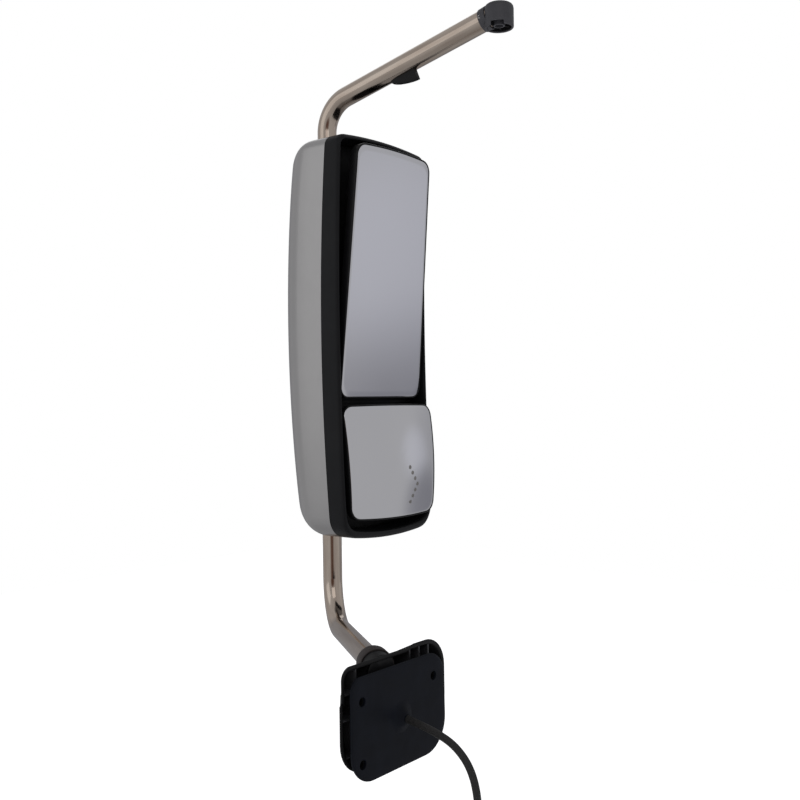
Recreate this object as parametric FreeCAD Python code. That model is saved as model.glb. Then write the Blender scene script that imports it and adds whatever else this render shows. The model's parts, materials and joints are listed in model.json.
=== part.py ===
import FreeCAD, Part
import math
import os

# A passenger-side truck mirror. Millimetres, +Z up.
# Origin: on the gasket's door face, midway between the two upper bolt holes.
# +X points to the rear of the vehicle, +Y away from the door.

os.makedirs("parts", exist_ok=True)

# ---------------------------------------------------------------- driving dimensions
TUBE_R = 15.875
TUBE_WALL = 2.0
TUBE_X = 203.5
TUBE_Y = 300.5
ARM_LOW_Z = 13.9
ARM_TOP_Z = 870.0
LOWER_HEADING = math.radians(52.0)
LOWER_RISE = math.radians(-1.7)
UPPER_HEADING = math.radians(-89.0)
UPPER_RISE = math.radians(12.8)
LOWER_BEND_R = 72.0
UPPER_BEND_R = 55.0
UPPER_REACH = 345.0

PAD_T = 4.0
PAD_LEFT, PAD_RIGHT, PAD_LOW, PAD_HIGH = -96.5, 104.5, -105.5, 32.0
BOLT_X = 75.75
BOLT_DROP = 79.4
BOLT_HOLE_R = 5.25
BOLTS = [(-BOLT_X, 0.0), (BOLT_X, 0.0), (-BOLT_X, -BOLT_DROP)]
EXIT_X, EXIT_Z = 4.9, -38.7
CABLE_R = 5.0

BASE_RIM_Y, BASE_BACK_Y, BASE_WALL, RIM_FACE = 12.0, 50.0, 3.0, 6.5
RIB_HALF, RIB_Y = 1.2, 14.0
INSERT_R, INSERT_LENGTH, BOLT_BOSS_R = 7.0, 12.0, 9.5
TOWER_Y, SLEEVE_Y, SOCKET_FRONT_Y, SOCKET_FLOOR = 53.0, 52.0, 17.0, 3.0
TUBE_START_Y, BOOT_START_Y, BOOT_MOUTH_Y = 28.0, 34.0, 68.0

HEAD_LEFT, HEAD_RIGHT = 153.0, 387.0
HEAD_LOW, HEAD_HIGH = 153.5, 813.5
ARCH_LOW, ARCH_HIGH = 10.0, 7.0
HEAD_LOW_R, HEAD_HIGH_R = 28.0, 23.0
# Bowed lines seen from the side: (y at the fullest point, curvature, height of that point).
RIM_LINE = (236.5, 0.88e-4, 520.0)
SEAM_LINE = (272.5, 1.4e-4, 495.0)
FRONT_LINE = (381.0, 2.2e-4, 515.0)
BEZEL_WALL, SHELL_WALL = 5.0, 2.5
BACKWARD = -76.0
CROWN_Y, SHOULDER_Y = 383.0, 375.0
SHELL_TOP_R, SHELL_SIDE_R = 60.0, 47.0
CHASSIS_Y, CHASSIS_T = 277.0, 3.0

PIVOT_Y = 244.0
ACTUATOR_R, ACTUATOR_FRONT_Y, ACTUATOR_LID = 50.0, 255.5, 2.5
ACTUATOR_WALL, MOTOR_R, MOTOR_LENGTH = 2.5, 7.0, 24.0
JACK_REACH, JACK_R, JACK_BACK, BALL_R = 36.0, 3.5, 11.0, 5.0
PIN_R, LUG_R, LUG_NEAR, LUG_FAR = 3.0, 5.5, 9.0, 15.0
RUNNING = 0.08

X, Y, Z = FreeCAD.Vector(1, 0, 0), FreeCAD.Vector(0, 1, 0), FreeCAD.Vector(0, 0, 1)


def vec(x, y, z):
    return FreeCAD.Vector(x, y, z)


def heading(angle, rise=0.0):
    flat = math.cos(rise)
    return vec(flat * math.cos(angle), flat * math.sin(angle), math.sin(rise))


def block(x0, x1, y0, y1, z0, z1):
    return Part.makeBox(x1 - x0, y1 - y0, z1 - z0, vec(x0, y0, z0))


def rod(start, direction, radius, length):
    return Part.makeCylinder(radius, length, start, direction)


def ring(start, direction, outer, inner, length):
    return rod(start, direction, outer, length).cut(rod(start, direction, inner, length))


def save(node, *solids):
    shape = solids[0] if len(solids) == 1 else Part.makeCompound(list(solids))
    shape.exportStep("parts/" + node + ".step")
    print(node, len(shape.Solids), "solids", round(shape.Volume / 1000.0, 2), "cm3", shape.isValid())


def rounded_path(points, radii, closed=False):
    """Straight runs joined by tangent arcs, one radius for each point."""
    count = len(points)
    corners = []
    for i, point in enumerate(points):
        if not closed and i in (0, count - 1):
            corners.append((point, None, point))
            continue
        back = (points[i - 1] - point).normalize()
        ahead = (points[(i + 1) % count] - point).normalize()
        half_turn = (math.pi - back.getAngle(ahead)) / 2.0
        trim = radii[i] * math.tan(half_turn)
        rise = radii[i] * (1.0 / math.cos(half_turn) - 1.0)
        middle = point + (back + ahead).normalize() * rise
        corners.append((point + back * trim, middle, point + ahead * trim))
    edges = []
    for i, (enter, middle, leave) in enumerate(corners):
        if middle is not None:
            edges.append(Part.Arc(enter, middle, leave).toShape())
        if i + 1 < count or closed:
            following = corners[(i + 1) % count][0]
            if leave.distanceToPoint(following) > 0.01:
                edges.append(Part.LineSegment(leave, following).toShape())
    return Part.Wire(edges)


def pipe(points, radii, radius):
    path = rounded_path(points, radii)
    start = (points[1] - points[0]).normalize()
    section = Part.Wire([Part.makeCircle(radius, points[0], start)])
    return path.makePipeShell([section], True, True)


def plate(corners, radii, y0, y1):
    """A flat plate across Y, from corners given as (x, z)."""
    wire = rounded_path([vec(x, y0, z) for x, z in corners], radii, closed=True)
    return Part.Face(wire).extrude(vec(0, y1 - y0, 0))


def arched_face(left, right, low, high, low_r, high_r, y):
    """A rectangle with round corners whose upper and lower edges bow outwards."""
    middle = (left + right) / 2.0
    low_z, high_z = low + ARCH_LOW, high - ARCH_HIGH
    low_d, high_d = (radius * (1.0 - math.sqrt(0.5)) for radius in (low_r, high_r))

    def at(x, z):
        return vec(x, y, z)

    stops = [
        (at(left + low_r, low_z), at(middle, low), at(right - low_r, low_z)),
        (at(right - low_r, low_z), at(right - low_d, low_z + low_d), at(right, low_z + low_r)),
        (at(right, low_z + low_r), None, at(right, high_z - high_r)),
        (at(right, high_z - high_r), at(right - high_d, high_z - high_d), at(right - high_r, high_z)),
        (at(right - high_r, high_z), at(middle, high), at(left + high_r, high_z)),
        (at(left + high_r, high_z), at(left + high_d, high_z - high_d), at(left, high_z - high_r)),
        (at(left, high_z - high_r), None, at(left, low_z + low_r)),
        (at(left, low_z + low_r), at(left + low_d, low_z + low_d), at(left + low_r, low_z)),
    ]
    edges = []
    for start, through, end in stops:
        if through is None:
            edges.append(Part.LineSegment(start, end).toShape())
        else:
            edges.append(Part.Arc(start, through, end).toShape())
    return Part.Face(Part.Wire(edges))


def head_slab(inset, y0, y1):
    face = arched_face(
        HEAD_LEFT + inset, HEAD_RIGHT - inset, HEAD_LOW + inset, HEAD_HIGH - inset,
        HEAD_LOW_R - inset, HEAD_HIGH_R - inset, y0)
    return face.extrude(vec(0, y1 - y0, 0))


def bowed(line, offset, z):
    """A point of a bowed line seen from the side."""
    fullest, curvature, height = line
    return vec(0, fullest + offset - curvature * (z - height) ** 2, z)


def bowed_edge(line, offset, low, high):
    start, middle, end = (bowed(line, offset, z) for z in (low, (low + high) / 2.0, high))
    return Part.Arc(start, middle, end).toShape(), start, end


def side_band(rear_line, rear_offset, front_line, front_offset):
    """Everything between two bowed lines, as a slab across X."""
    low, high = HEAD_LOW - 40.0, HEAD_HIGH + 40.0
    rear, rear_low, rear_high = bowed_edge(rear_line, rear_offset, low, high)
    front, front_low, front_high = bowed_edge(front_line, front_offset, low, high)
    edges = [rear, Part.LineSegment(rear_high, front_high).toShape(), front,
             Part.LineSegment(front_low, rear_low).toShape()]
    face = Part.Face(Part.Wire(Part.__sortEdges__(edges)))
    return face.extrude(vec(600, 0, 0))


def side_profile(rear_offset, inset):
    """The cover seen from the side, as a slab across X."""
    low, high = HEAD_LOW + inset, HEAD_HIGH - inset
    radius = SHELL_TOP_R - inset
    d = radius * (1.0 - math.sqrt(0.5))
    rear, rear_low, rear_high = bowed_edge(SEAM_LINE, rear_offset, low, high)
    front, low_b, top_b = bowed_edge(FRONT_LINE, -inset, low + radius, high - radius)
    top_a, top_m = vec(0, top_b.y - radius, high), vec(0, top_b.y - d, high - d)
    low_m, low_a = vec(0, low_b.y - d, low + d), vec(0, low_b.y - radius, low)
    edges = [
        rear,
        Part.LineSegment(rear_high, top_a).toShape(),
        Part.Arc(top_a, top_m, top_b).toShape(),
        front,
        Part.Arc(low_b, low_m, low_a).toShape(),
        Part.LineSegment(low_a, rear_low).toShape()]
    return Part.Face(Part.Wire(Part.__sortEdges__(edges))).extrude(vec(600, 0, 0))


def plan_profile(inset):
    """The cover seen from above, as a slab across Z."""
    left, right = HEAD_LEFT + inset, HEAD_RIGHT - inset
    front, shoulder = CROWN_Y - inset, SHOULDER_Y - inset
    radius = SHELL_SIDE_R - inset
    d = radius * (1.0 - math.sqrt(0.5))
    rear = 160.0
    middle = vec((left + right) / 2.0, front, 0)
    edges = [
        Part.LineSegment(vec(left, rear, 0), vec(left, shoulder - radius, 0)).toShape(),
        Part.Arc(vec(left, shoulder - radius, 0), vec(left + d, shoulder - d, 0),
                 vec(left + radius, shoulder, 0)).toShape(),
        Part.Arc(vec(left + radius, shoulder, 0), middle, vec(right - radius, shoulder, 0)).toShape(),
        Part.Arc(vec(right - radius, shoulder, 0), vec(right - d, shoulder - d, 0),
                 vec(right, shoulder - radius, 0)).toShape(),
        Part.LineSegment(vec(right, shoulder - radius, 0), vec(right, rear, 0)).toShape(),
        Part.LineSegment(vec(right, rear, 0), vec(left, rear, 0)).toShape()]
    return Part.Face(Part.Wire(edges)).extrude(vec(0, 0, 1000))


def cover_body(rear_offset, inset):
    body = head_slab(inset, 160.0, 400.0)
    return body.common(plan_profile(inset)).common(side_profile(rear_offset, inset))


# ---------------------------------------------------------------- base
LOWER_OUT = heading(LOWER_HEADING, LOWER_RISE)
AXIS_LOW = vec(TUBE_X, TUBE_Y, ARM_LOW_Z)


def lower_axis_at(y):
    """The point of the lower arm's axis at a distance y from the door."""
    return AXIS_LOW + LOWER_OUT * ((y - TUBE_Y) / LOWER_OUT.y)


def beyond(y):
    """Everything further from the door than y, near the base."""
    return block(-300, 300, y, 400, -300, 300)


HARNESS_Y = 42.0
HARNESS_R = 4.5
WIRE_HOLE_R = 7.5
SLEEVE_R, TOWER_R = 18.5, 21.6
GROMMET_R = 21.0


def harness_points():
    entry = lower_axis_at(HARNESS_Y)
    return [vec(EXIT_X, 7.0, EXIT_Z), vec(EXIT_X, 40.0, EXIT_Z), entry, AXIS_LOW,
            vec(TUBE_X, TUBE_Y, 300.0)]


def wire_hole():
    points = harness_points()
    run = points[2] - points[1]
    return rod(points[1], vec(run.x, run.y, run.z), WIRE_HOLE_R, run.Length)


def door_gasket():
    corners = [(PAD_LEFT, PAD_LOW), (PAD_RIGHT, PAD_LOW), (PAD_RIGHT, PAD_HIGH), (PAD_LEFT, PAD_HIGH)]
    pad = plate(corners, [42, 46, 36, 18], 0.0, PAD_T)
    for x, z in BOLTS:
        pad = pad.cut(rod(vec(x, -1, z), Y, BOLT_HOLE_R, PAD_T + 2))
    return pad.cut(rod(vec(EXIT_X, -1, EXIT_Z), Y, GROMMET_R + 0.5, PAD_T + 2))


# Corners of the housing as (x, z, radius), at its rim and at its much smaller back.
BASE_RIM = [(-105.5, -94, 44), (120, -94, 58), (119, 48, 43), (47, 48, 6), (42, 45.5, 6), (-102, 45.5, 16),
            (-102, 2.5, 3), (-105.5, -2, 3)]
BASE_BACK = [(-62, -87, 36), (112, -87, 50), (112, 30, 34), (44, 30, 5), (40, 28.5, 5), (-60, 28.5, 14),
             (-60, 1.5, 3), (-62, -3, 3)]


def base_wire(corners, inset, y):
    centre_x, centre_z = 8.0, -28.0
    points = [vec(x - math.copysign(inset, x - centre_x), y, z - math.copysign(inset, z - centre_z))
              for x, z, _ in corners]
    return rounded_path(points, [max(radius - inset, 1.5) for _, _, radius in corners], closed=True)


def base_form(rim_inset, back_inset, y0, y1):
    """The housing's body: walls that slope from the rim to the back."""
    return Part.makeLoft([base_wire(BASE_RIM, rim_inset, y0), base_wire(BASE_BACK, back_inset, y1)], True, True)


def base_housing():
    outer = base_form(0.0, 0.0, BASE_RIM_Y, BASE_BACK_Y)
    inner = base_form(RIM_FACE, BASE_WALL, BASE_RIM_Y - 0.01, BASE_BACK_Y - BASE_WALL)
    tower = rod(lower_axis_at(0.0), LOWER_OUT, TOWER_R, TOWER_Y / LOWER_OUT.y)
    tower = tower.common(beyond(SOCKET_FRONT_Y - SOCKET_FLOOR))
    ribs = []
    for x in (-72.0, -39.0, -12.0, 41.0, 62.0, 83.0):
        ribs.append(block(x - RIB_HALF, x + RIB_HALF, RIB_Y, BASE_BACK_Y - 1, -100, 60))
    for z in (-70.0, -22.0, 10.0):
        ribs.append(block(-120, 130, RIB_Y, BASE_BACK_Y - 1, z - RIB_HALF, z + RIB_HALF))
    grid = ribs[0].multiFuse(ribs[1:]).common(inner)
    grid = grid.cut(rod(vec(EXIT_X, 0, EXIT_Z), Y, GROMMET_R + 4, BASE_BACK_Y - BASE_WALL))
    room = outer.fuse(block(-130, 130, 0, BASE_RIM_Y, -130, 60))
    bosses = [rod(vec(x, PAD_T, z), Y, BOLT_BOSS_R, BASE_BACK_Y - PAD_T - 2).common(room) for x, z in BOLTS]
    body = outer.cut(inner).multiFuse([grid, tower] + bosses)
    for x, z in BOLTS:
        body = body.cut(rod(vec(x, PAD_T - 1, z), Y, INSERT_R, INSERT_LENGTH + 1))
        body = body.cut(rod(vec(x, PAD_T, z), Y, BOLT_HOLE_R, INSERT_LENGTH + 6))
    bore = rod(lower_axis_at(-10.0), LOWER_OUT, SLEEVE_R, 200.0).common(beyond(SOCKET_FRONT_Y))
    return body.cut(bore).cut(wire_hole())


def base_inserts():
    return [ring(vec(x, PAD_T, z), Y, INSERT_R, BOLT_HOLE_R, INSERT_LENGTH) for x, z in BOLTS]


def socket_sleeve():
    sleeve = ring(lower_axis_at(0.0), LOWER_OUT, SLEEVE_R, TUBE_R, SLEEVE_Y / LOWER_OUT.y)
    return sleeve.common(beyond(SOCKET_FRONT_Y)).cut(wire_hole())


def socket_screws():
    """Two set screws that pass through the tower and the sleeve and bear on the tube from below."""
    screws = []
    for y in (23.0, 33.0):
        axis = lower_axis_at(y)
        shank = rod(axis - Z * TUBE_R, -Z, 2.5, TOWER_R - TUBE_R + 1.0)
        screws.append(shank.fuse(rod(axis - Z * (TOWER_R + 0.6), -Z, 4.0, 3.0)))
    return screws


def arm_boot():
    """A tapered boot over the tower, from the housing's back to a lip on the tube."""
    start = lower_axis_at(BOOT_START_Y)
    length = (BOOT_MOUTH_Y - BOOT_START_Y) / LOWER_OUT.y
    outer = [(0, 24.0), (24, 24.0), (28, 23.2), (length - 3, 18.0), (length, 17.4)]
    inner = [(0, TOWER_R + 0.4), (27, TOWER_R + 0.3), (length - 3, TUBE_R + 0.05), (length, TUBE_R + 0.05)]
    points = [vec(s, r, 0) for s, r in outer] + [vec(s, r, 0) for s, r in reversed(inner)]
    points.append(points[0])
    profile = Part.Face(Part.makePolygon(points))
    boot = profile.revolve(vec(0, 0, 0), X, 360)
    boot.Placement = FreeCAD.Placement(start, FreeCAD.Rotation(X, LOWER_OUT))
    boot = boot.common(beyond(BASE_BACK_Y))
    clear = rod(lower_axis_at(0.0), LOWER_OUT, TOWER_R + 0.2, (TOWER_Y + 1.0) / LOWER_OUT.y)
    return boot.cut(clear)


def cable_grommet():
    """A rubber dome in the gasket's opening, with a short snout that grips the cable."""
    flange = rod(vec(EXIT_X, PAD_T, EXIT_Z), Y, GROMMET_R + 3, 3.0)
    body = rod(vec(EXIT_X, 0, EXIT_Z), Y, GROMMET_R, PAD_T)
    dome = Part.makeCone(GROMMET_R, 12.0, 4.5, vec(EXIT_X, 0, EXIT_Z), vec(0, -1, 0))
    snout = Part.makeCone(11.0, CABLE_R + 2.0, SNOUT_LENGTH, vec(EXIT_X, 0, EXIT_Z), SNOUT_OUT)
    return flange.multiFuse([body, dome, snout])


# The cable leaves the snout and falls to the hank in one long bend.
CABLE_ROUTE = [
    (4.9, -8.5, -40.2),
    (4.9, -19, -42.1),
    (4.9, -34, -44.7),
    (5.2, -50, -48.5),
    (5.0, -66, -52.8),
    (4.7, -80, -58.2),
    (4.8, -91.5, -66),
    (5.2, -101.5, -76),
    (5.3, -109.5, -88.5),
    (5.0, -115.5, -104),
    (4.8, -119, -123),
    (5.2, -120, -146),
    (6.0, -120, -172),
]
SNOUT_OUT, SNOUT_LENGTH = vec(0, -16.0, -2.8).normalize(), 8.5


def arc_radii(points):
    """The largest arc that each corner of a free cable takes."""
    radii = [0.0]
    for i in range(1, len(points) - 1):
        back, ahead = points[i - 1] - points[i], points[i + 1] - points[i]
        half_turn = (math.pi - back.getAngle(ahead)) / 2.0
        radii.append(0.45 * min(back.Length, ahead.Length) / math.tan(half_turn))
    return radii + [0.0]


def cable_lead():
    points = [vec(*p) for p in CABLE_ROUTE]
    radii = arc_radii(points)
    print("cable radii", [round(r) for r in radii[1:-1]])
    lead = pipe(points, radii, CABLE_R)
    length = rounded_path(points, radii).Length
    print("cable length", round(length, 1), "volume share", lead.Volume / (math.pi * CABLE_R ** 2 * length))
    return lead


HANK_X, HANK_LOW, HANK_HIGH, HANK_R = 38.0, -330.0, -190.0, 37.5
HANK_Y0, HANK_Y1 = -125.5, -103.5
WAIST, TIE_Z = 20.0, -260.0


def cable_hank():
    """The outer shape of the spare cable: two loops either side of a tied waist."""
    depth = HANK_Y1 - HANK_Y0
    loops = [rod(vec(HANK_X, HANK_Y0, z), Y, HANK_R, depth) for z in (HANK_LOW, HANK_HIGH)]
    waist = block(HANK_X - WAIST, HANK_X + WAIST, HANK_Y0, HANK_Y1, HANK_LOW, HANK_HIGH)
    return loops[0].multiFuse([loops[1], waist]).removeSplitter()


def cable_tie():
    left, right = HANK_X - WAIST, HANK_X + WAIST
    outer = block(left - 1.6, right + 1.6, HANK_Y0 - 1.6, HANK_Y1 + 1.6, TIE_Z - 5, TIE_Z + 5)
    return outer.cut(block(left, right, HANK_Y0, HANK_Y1, TIE_Z - 6, TIE_Z + 6))


PLUG_X, PLUG_Y, PLUG_Z = 58.0, -93.0, -246.0


def cable_plug():
    """A sealed oblong connector with a latch bar and a strain relief."""
    body = block(PLUG_X - 12, PLUG_X + 12, PLUG_Y - 8, PLUG_Y + 8, PLUG_Z, PLUG_Z + 42)
    body = body.makeFillet(2.5, [e for e in body.Edges if abs(e.tangentAt(e.FirstParameter).z) > 0.9])
    socket = block(PLUG_X - 9, PLUG_X + 9, PLUG_Y - 5, PLUG_Y + 5, PLUG_Z + 22, PLUG_Z + 43)
    latch = block(PLUG_X - 3, PLUG_X + 3, PLUG_Y + 7.5, PLUG_Y + 10.5, PLUG_Z + 14, PLUG_Z + 36)
    relief = Part.makeCone(6.5, 8.0, 14.0, vec(PLUG_X, PLUG_Y, PLUG_Z - 14), Z)
    return body.cut(socket).multiFuse([latch, relief])


# ---------------------------------------------------------------- arm
UPPER_OUT = heading(UPPER_HEADING, UPPER_RISE)
AXIS_TOP = vec(TUBE_X, TUBE_Y, ARM_TOP_Z)
ARM_UP = (Z - UPPER_OUT * UPPER_OUT.z).normalize()
BOSS_OFFSET = 5.5
BOSS_R, BOSS_HIGH = 21.5, 35.0
BOSS_CENTRE = AXIS_TOP + UPPER_OUT * UPPER_REACH - Z * BOSS_OFFSET
BOSS_BOTTOM = BOSS_CENTRE - Z * (BOSS_HIGH / 2.0)
RECESS_R, RECESS_DEEP = 17.8, 12.0
NECK_LENGTH, SPIGOT_LENGTH = 28.0, 36.0
NOTCH_HEADING, NOTCH_HALF, NOTCH_HIGH = 204.0, 9.5, 6.0
TUBE_END = UPPER_REACH - 20.0
UPPER_PIN_AT = UPPER_REACH - 24.0


def cross_pin(half_length):
    """The pin that holds the boss on the tube, level and square to the upper arm."""
    across = UPPER_OUT.cross(ARM_UP)
    centre = AXIS_TOP + UPPER_OUT * UPPER_PIN_AT
    return rod(centre - across * half_length, across, 2.5, 2 * half_length)


def arm_tube():
    points = [lower_axis_at(TUBE_START_Y), AXIS_LOW, AXIS_TOP, AXIS_TOP + UPPER_OUT * TUBE_END]
    radii = [0.0, LOWER_BEND_R, UPPER_BEND_R, 0.0]
    tube = pipe(points, radii, TUBE_R).cut(pipe(points, radii, TUBE_R - TUBE_WALL))
    tube = tube.cut(wire_hole())
    tube = tube.cut(cross_pin(30.0))
    head_hole = rod(vec(TUBE_X, TUBE_Y, 290.0), vec(0, -1, 0), 8.0, 40.0)
    return tube.cut(head_hole)


def boss_notch():
    """The gap in the barrel's lower wall beside the bush."""
    gap = Part.makeBox(BOSS_R + 5.0, 2 * NOTCH_HALF, NOTCH_HIGH + 1.0, vec(0, -NOTCH_HALF, -1.0))
    return gap.transformed(FreeCAD.Placement(BOSS_BOTTOM, FreeCAD.Rotation(Z, NOTCH_HEADING)).toMatrix())


def pivot_boss():
    """The cast boss on the tube's end: a spigot and neck for the tube, a domed barrel and a recess open below."""
    barrel = rod(BOSS_BOTTOM, Z, BOSS_R, BOSS_HIGH)
    rims = [e for e in barrel.Edges if e.Length > 100 and e.Curve.Center.z > BOSS_CENTRE.z]
    barrel = barrel.makeFillet(5.5, rims)
    neck_start = AXIS_TOP + UPPER_OUT * (UPPER_REACH - NECK_LENGTH)
    neck = Part.makeCone(TUBE_R + 1.4, TUBE_R + 2.0, NECK_LENGTH - 14.0, neck_start, UPPER_OUT)
    socket = rod(neck_start, UPPER_OUT, TUBE_R, TUBE_END - UPPER_REACH + NECK_LENGTH)
    spigot = rod(AXIS_TOP + UPPER_OUT * (TUBE_END - SPIGOT_LENGTH), UPPER_OUT, TUBE_R - TUBE_WALL - 0.1,
                 SPIGOT_LENGTH + 2.0)
    boss = barrel.fuse(neck).cut(socket).fuse(spigot)
    boss = boss.cut(rod(BOSS_BOTTOM - Z, Z, RECESS_R, RECESS_DEEP + 1.0))
    boss = boss.cut(rod(BUSH_START, Z, BUSH_R, BUSH_LENGTH))
    return boss.cut(boss_notch()).cut(cross_pin(30.0))


BUSH_R, BUSH_BORE_R, BUSH_LENGTH = 8.4, 6.1, 28.0
BUSH_START = BOSS_BOTTOM + Z * 3.0


def pivot_bushing():
    """A steel bush in the boss, bored for the cab bracket's pivot bolt."""
    return ring(BUSH_START, Z, BUSH_R, BUSH_BORE_R, BUSH_LENGTH)


HOOK_NEAR, HOOK_FAR, HOOK_HALF = 135.0, 190.0, 4.5


def arm_hook():
    """A stop fin clipped under the upper arm, with a scooped far end and a small lip."""
    length = HOOK_FAR - HOOK_NEAR
    points = [(0, -8), (length - 4, -8), (length - 4.5, -22), (length - 3, -27), (length + 2, -31.5),
              (length - 1, -33.5), (length * 0.7, -33), (length * 0.3, -26.5), (length * 0.08, -20), (0, -16.5)]
    corners = [AXIS_TOP + UPPER_OUT * (HOOK_NEAR + s) + ARM_UP * r for s, r in points]
    across = UPPER_OUT.cross(ARM_UP)
    wire = Part.makePolygon([c - across * HOOK_HALF for c in corners] + [corners[0] - across * HOOK_HALF])
    fin = Part.Face(wire).extrude(across * 2 * HOOK_HALF)
    return fin.cut(rod(AXIS_TOP, UPPER_OUT, TUBE_R, UPPER_REACH))


def hook_rivets():
    rivets = []
    for along in (HOOK_NEAR + 16.0, HOOK_FAR - 14.0):
        at = AXIS_TOP + UPPER_OUT * along
        rivets.append(rod(at - ARM_UP * 22.0, ARM_UP, 1.6, 22.0 - TUBE_R + 4.0))
    return rivets


# ---------------------------------------------------------------- head
CLAMP_Z = (230.0, 715.0)
CLAMP_HALF, CLAMP_HALF_WIDE, LINER_R = 20.0, 28.0, 18.0
CLAMP_BOLT_XS = (TUBE_X - 23.0, TUBE_X + 23.0)
CAP_Y, CLAMP_BOLT_R = TUBE_Y + 23.0, 3.0
SCREW_SPOTS = [(170.0, 330.0), (170.0, 480.0), (170.0, 640.0), (370.0, 330.0), (370.0, 480.0), (370.0, 640.0)]


def tube_hole(radius):
    return rod(vec(TUBE_X, TUBE_Y, 0), Z, radius, 1000.0)


def cover_shell():
    shell = cover_body(0.0, 0.0).cut(cover_body(BACKWARD, SHELL_WALL))
    posts = [rod(vec(x, CHASSIS_Y + CHASSIS_T, z), Y, 5.0, 90.0) for x, z in SCREW_SPOTS]
    solid = cover_body(0.0, 0.5)
    shell = shell.multiFuse([post.common(solid) for post in posts])
    for x, z in SCREW_SPOTS:
        shell = shell.cut(rod(vec(x, CHASSIS_Y, z), Y, 2.0, 22.0))
    return shell.cut(tube_hole(19.0))


def bezel():
    """The black band behind the glass, with a lip that snaps inside the cover."""
    band = head_slab(0.0, 180.0, 300.0).cut(head_slab(BEZEL_WALL, 180.0, 300.0))
    band = band.common(side_band(RIM_LINE, 0.0, SEAM_LINE, -0.2))
    lip = head_slab(SHELL_WALL + 0.1, 180.0, 300.0).cut(head_slab(BEZEL_WALL, 180.0, 300.0))
    lip = lip.common(side_band(SEAM_LINE, -4.0, SEAM_LINE, 3.5))
    return band.fuse(lip)


def chassis_plate():
    """The moulded plate that carries the actuators, with a rib between the two glasses."""
    plate_solid = head_slab(SHELL_WALL + 0.2, CHASSIS_Y, CHASSIS_Y + CHASSIS_T)
    rib = block(HEAD_LEFT + 8.0, HEAD_RIGHT - 8.0, 268.0, CHASSIS_Y, 377.5, 380.5)
    side_ribs = [block(x - 1.5, x + 1.5, CHASSIS_Y + CHASSIS_T, CHASSIS_Y + 14.0, 262.0, 690.0)
                 for x in (252.0, 288.0, 324.0)]
    body = plate_solid.multiFuse([rib] + side_ribs)
    for x, z in SCREW_SPOTS:
        body = body.cut(rod(vec(x, CHASSIS_Y - 1, z), Y, 2.1, 10.0))
    return body


def shell_screws():
    screws = []
    for x, z in SCREW_SPOTS:
        shank = rod(vec(x, CHASSIS_Y, z), Y, 2.0, 20.0)
        screws.append(shank.fuse(rod(vec(x, CHASSIS_Y - 2.4, z), Y, 4.0, 2.4)))
    return screws


def clamp_half(z, y0, y1):
    return block(TUBE_X - CLAMP_HALF_WIDE, TUBE_X + CLAMP_HALF_WIDE, y0, y1, z - CLAMP_HALF, z + CLAMP_HALF)


def clamp_block(z):
    body = clamp_half(z, CHASSIS_Y + CHASSIS_T, TUBE_Y - 0.5).cut(tube_hole(LINER_R))
    for x in CLAMP_BOLT_XS:
        body = body.cut(rod(vec(x, CHASSIS_Y + 8, z), Y, CLAMP_BOLT_R, 40.0))
    return body


def clamp_cap(z):
    body = clamp_half(z, TUBE_Y + 0.5, CAP_Y)
    upright = [e for e in body.Edges if abs(e.tangentAt(e.FirstParameter).z) > 0.9]
    body = body.makeFillet(6.0, [e for e in upright if e.CenterOfMass.y > TUBE_Y + 20])
    body = body.cut(tube_hole(LINER_R))
    for x in CLAMP_BOLT_XS:
        body = body.cut(rod(vec(x, TUBE_Y - 20, z), Y, CLAMP_BOLT_R + 0.1, 60.0))
    return body


def clamp_bolts():
    bolts = []
    for z in CLAMP_Z:
        for x in CLAMP_BOLT_XS:
            shank = rod(vec(x, CHASSIS_Y + 10, z), Y, CLAMP_BOLT_R, CAP_Y - CHASSIS_Y - 10)
            bolts.append(shank.fuse(rod(vec(x, CAP_Y, z), Y, 5.0, 4.0)))
    return bolts


def friction_liners():
    """Two split liners that hold the head on the tube by friction."""
    liners = []
    for z in CLAMP_Z:
        liner = ring(vec(TUBE_X, TUBE_Y, z - CLAMP_HALF + 1), Z, LINER_R, TUBE_R + 0.06, 2 * CLAMP_HALF - 2)
        liners.append(liner.cut(block(TUBE_X - 30, TUBE_X + 30, TUBE_Y - 1, TUBE_Y + 1, z - 30, z + 30)))
    return [half for liner in liners for half in liner.Solids]


def shell_grommet(low, high):
    """A rubber ring between the cover and the tube, flush outside and flanged inside the wall."""
    body = ring(vec(TUBE_X, TUBE_Y, low), Z, 18.9, TUBE_R + 0.5, high - low).common(cover_body(BACKWARD, 0.0))
    flange = ring(vec(TUBE_X, TUBE_Y, low), Z, TUBE_Y - CHASSIS_Y - CHASSIS_T - 0.5, TUBE_R + 0.5, high - low)
    return body.fuse(flange.common(cover_body(BACKWARD, SHELL_WALL + 0.05)))


# ---------------------------------------------------------------- glasses
# Depths are counted from a glass's face, and "flip" is -1 where the widest edge is the top one.
UPPER = {
    "name": "upper", "x": 270.0, "z": 591.75, "face": 18.0, "pan": 0.0, "tilt": 5.2,
    "half_high": 204.25, "wide": 103.0, "narrow": 93.5, "arch": 4.0, "flip": 1,
    "thick": 3.0, "lip": 0.4, "depth": 16.0, "domed": False}
LOWER = {
    "name": "lower", "x": 270.0, "z": 278.0, "face": 33.0, "pan": -5.2, "tilt": -3.0,
    "half_high": 92.5, "wide": 103.0, "narrow": 96.0, "arch": 4.0, "flip": -1,
    "thick": 2.2, "lip": 0.6, "depth": 24.0, "domed": True}
LENS_R = 650.0
GLASS_CORNER_R = 15.0
BACKING_RIM, FLOOR_T, HEATER_GAP = 2.0, 3.0, 0.05
LAMP_R, BOARD_DEPTH, BOARD_T = 2.4, 15.0, 1.6
SIGNAL_TIP, SIGNAL_STEP = (51.0, -41.0), (6.2, 9.6)
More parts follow.
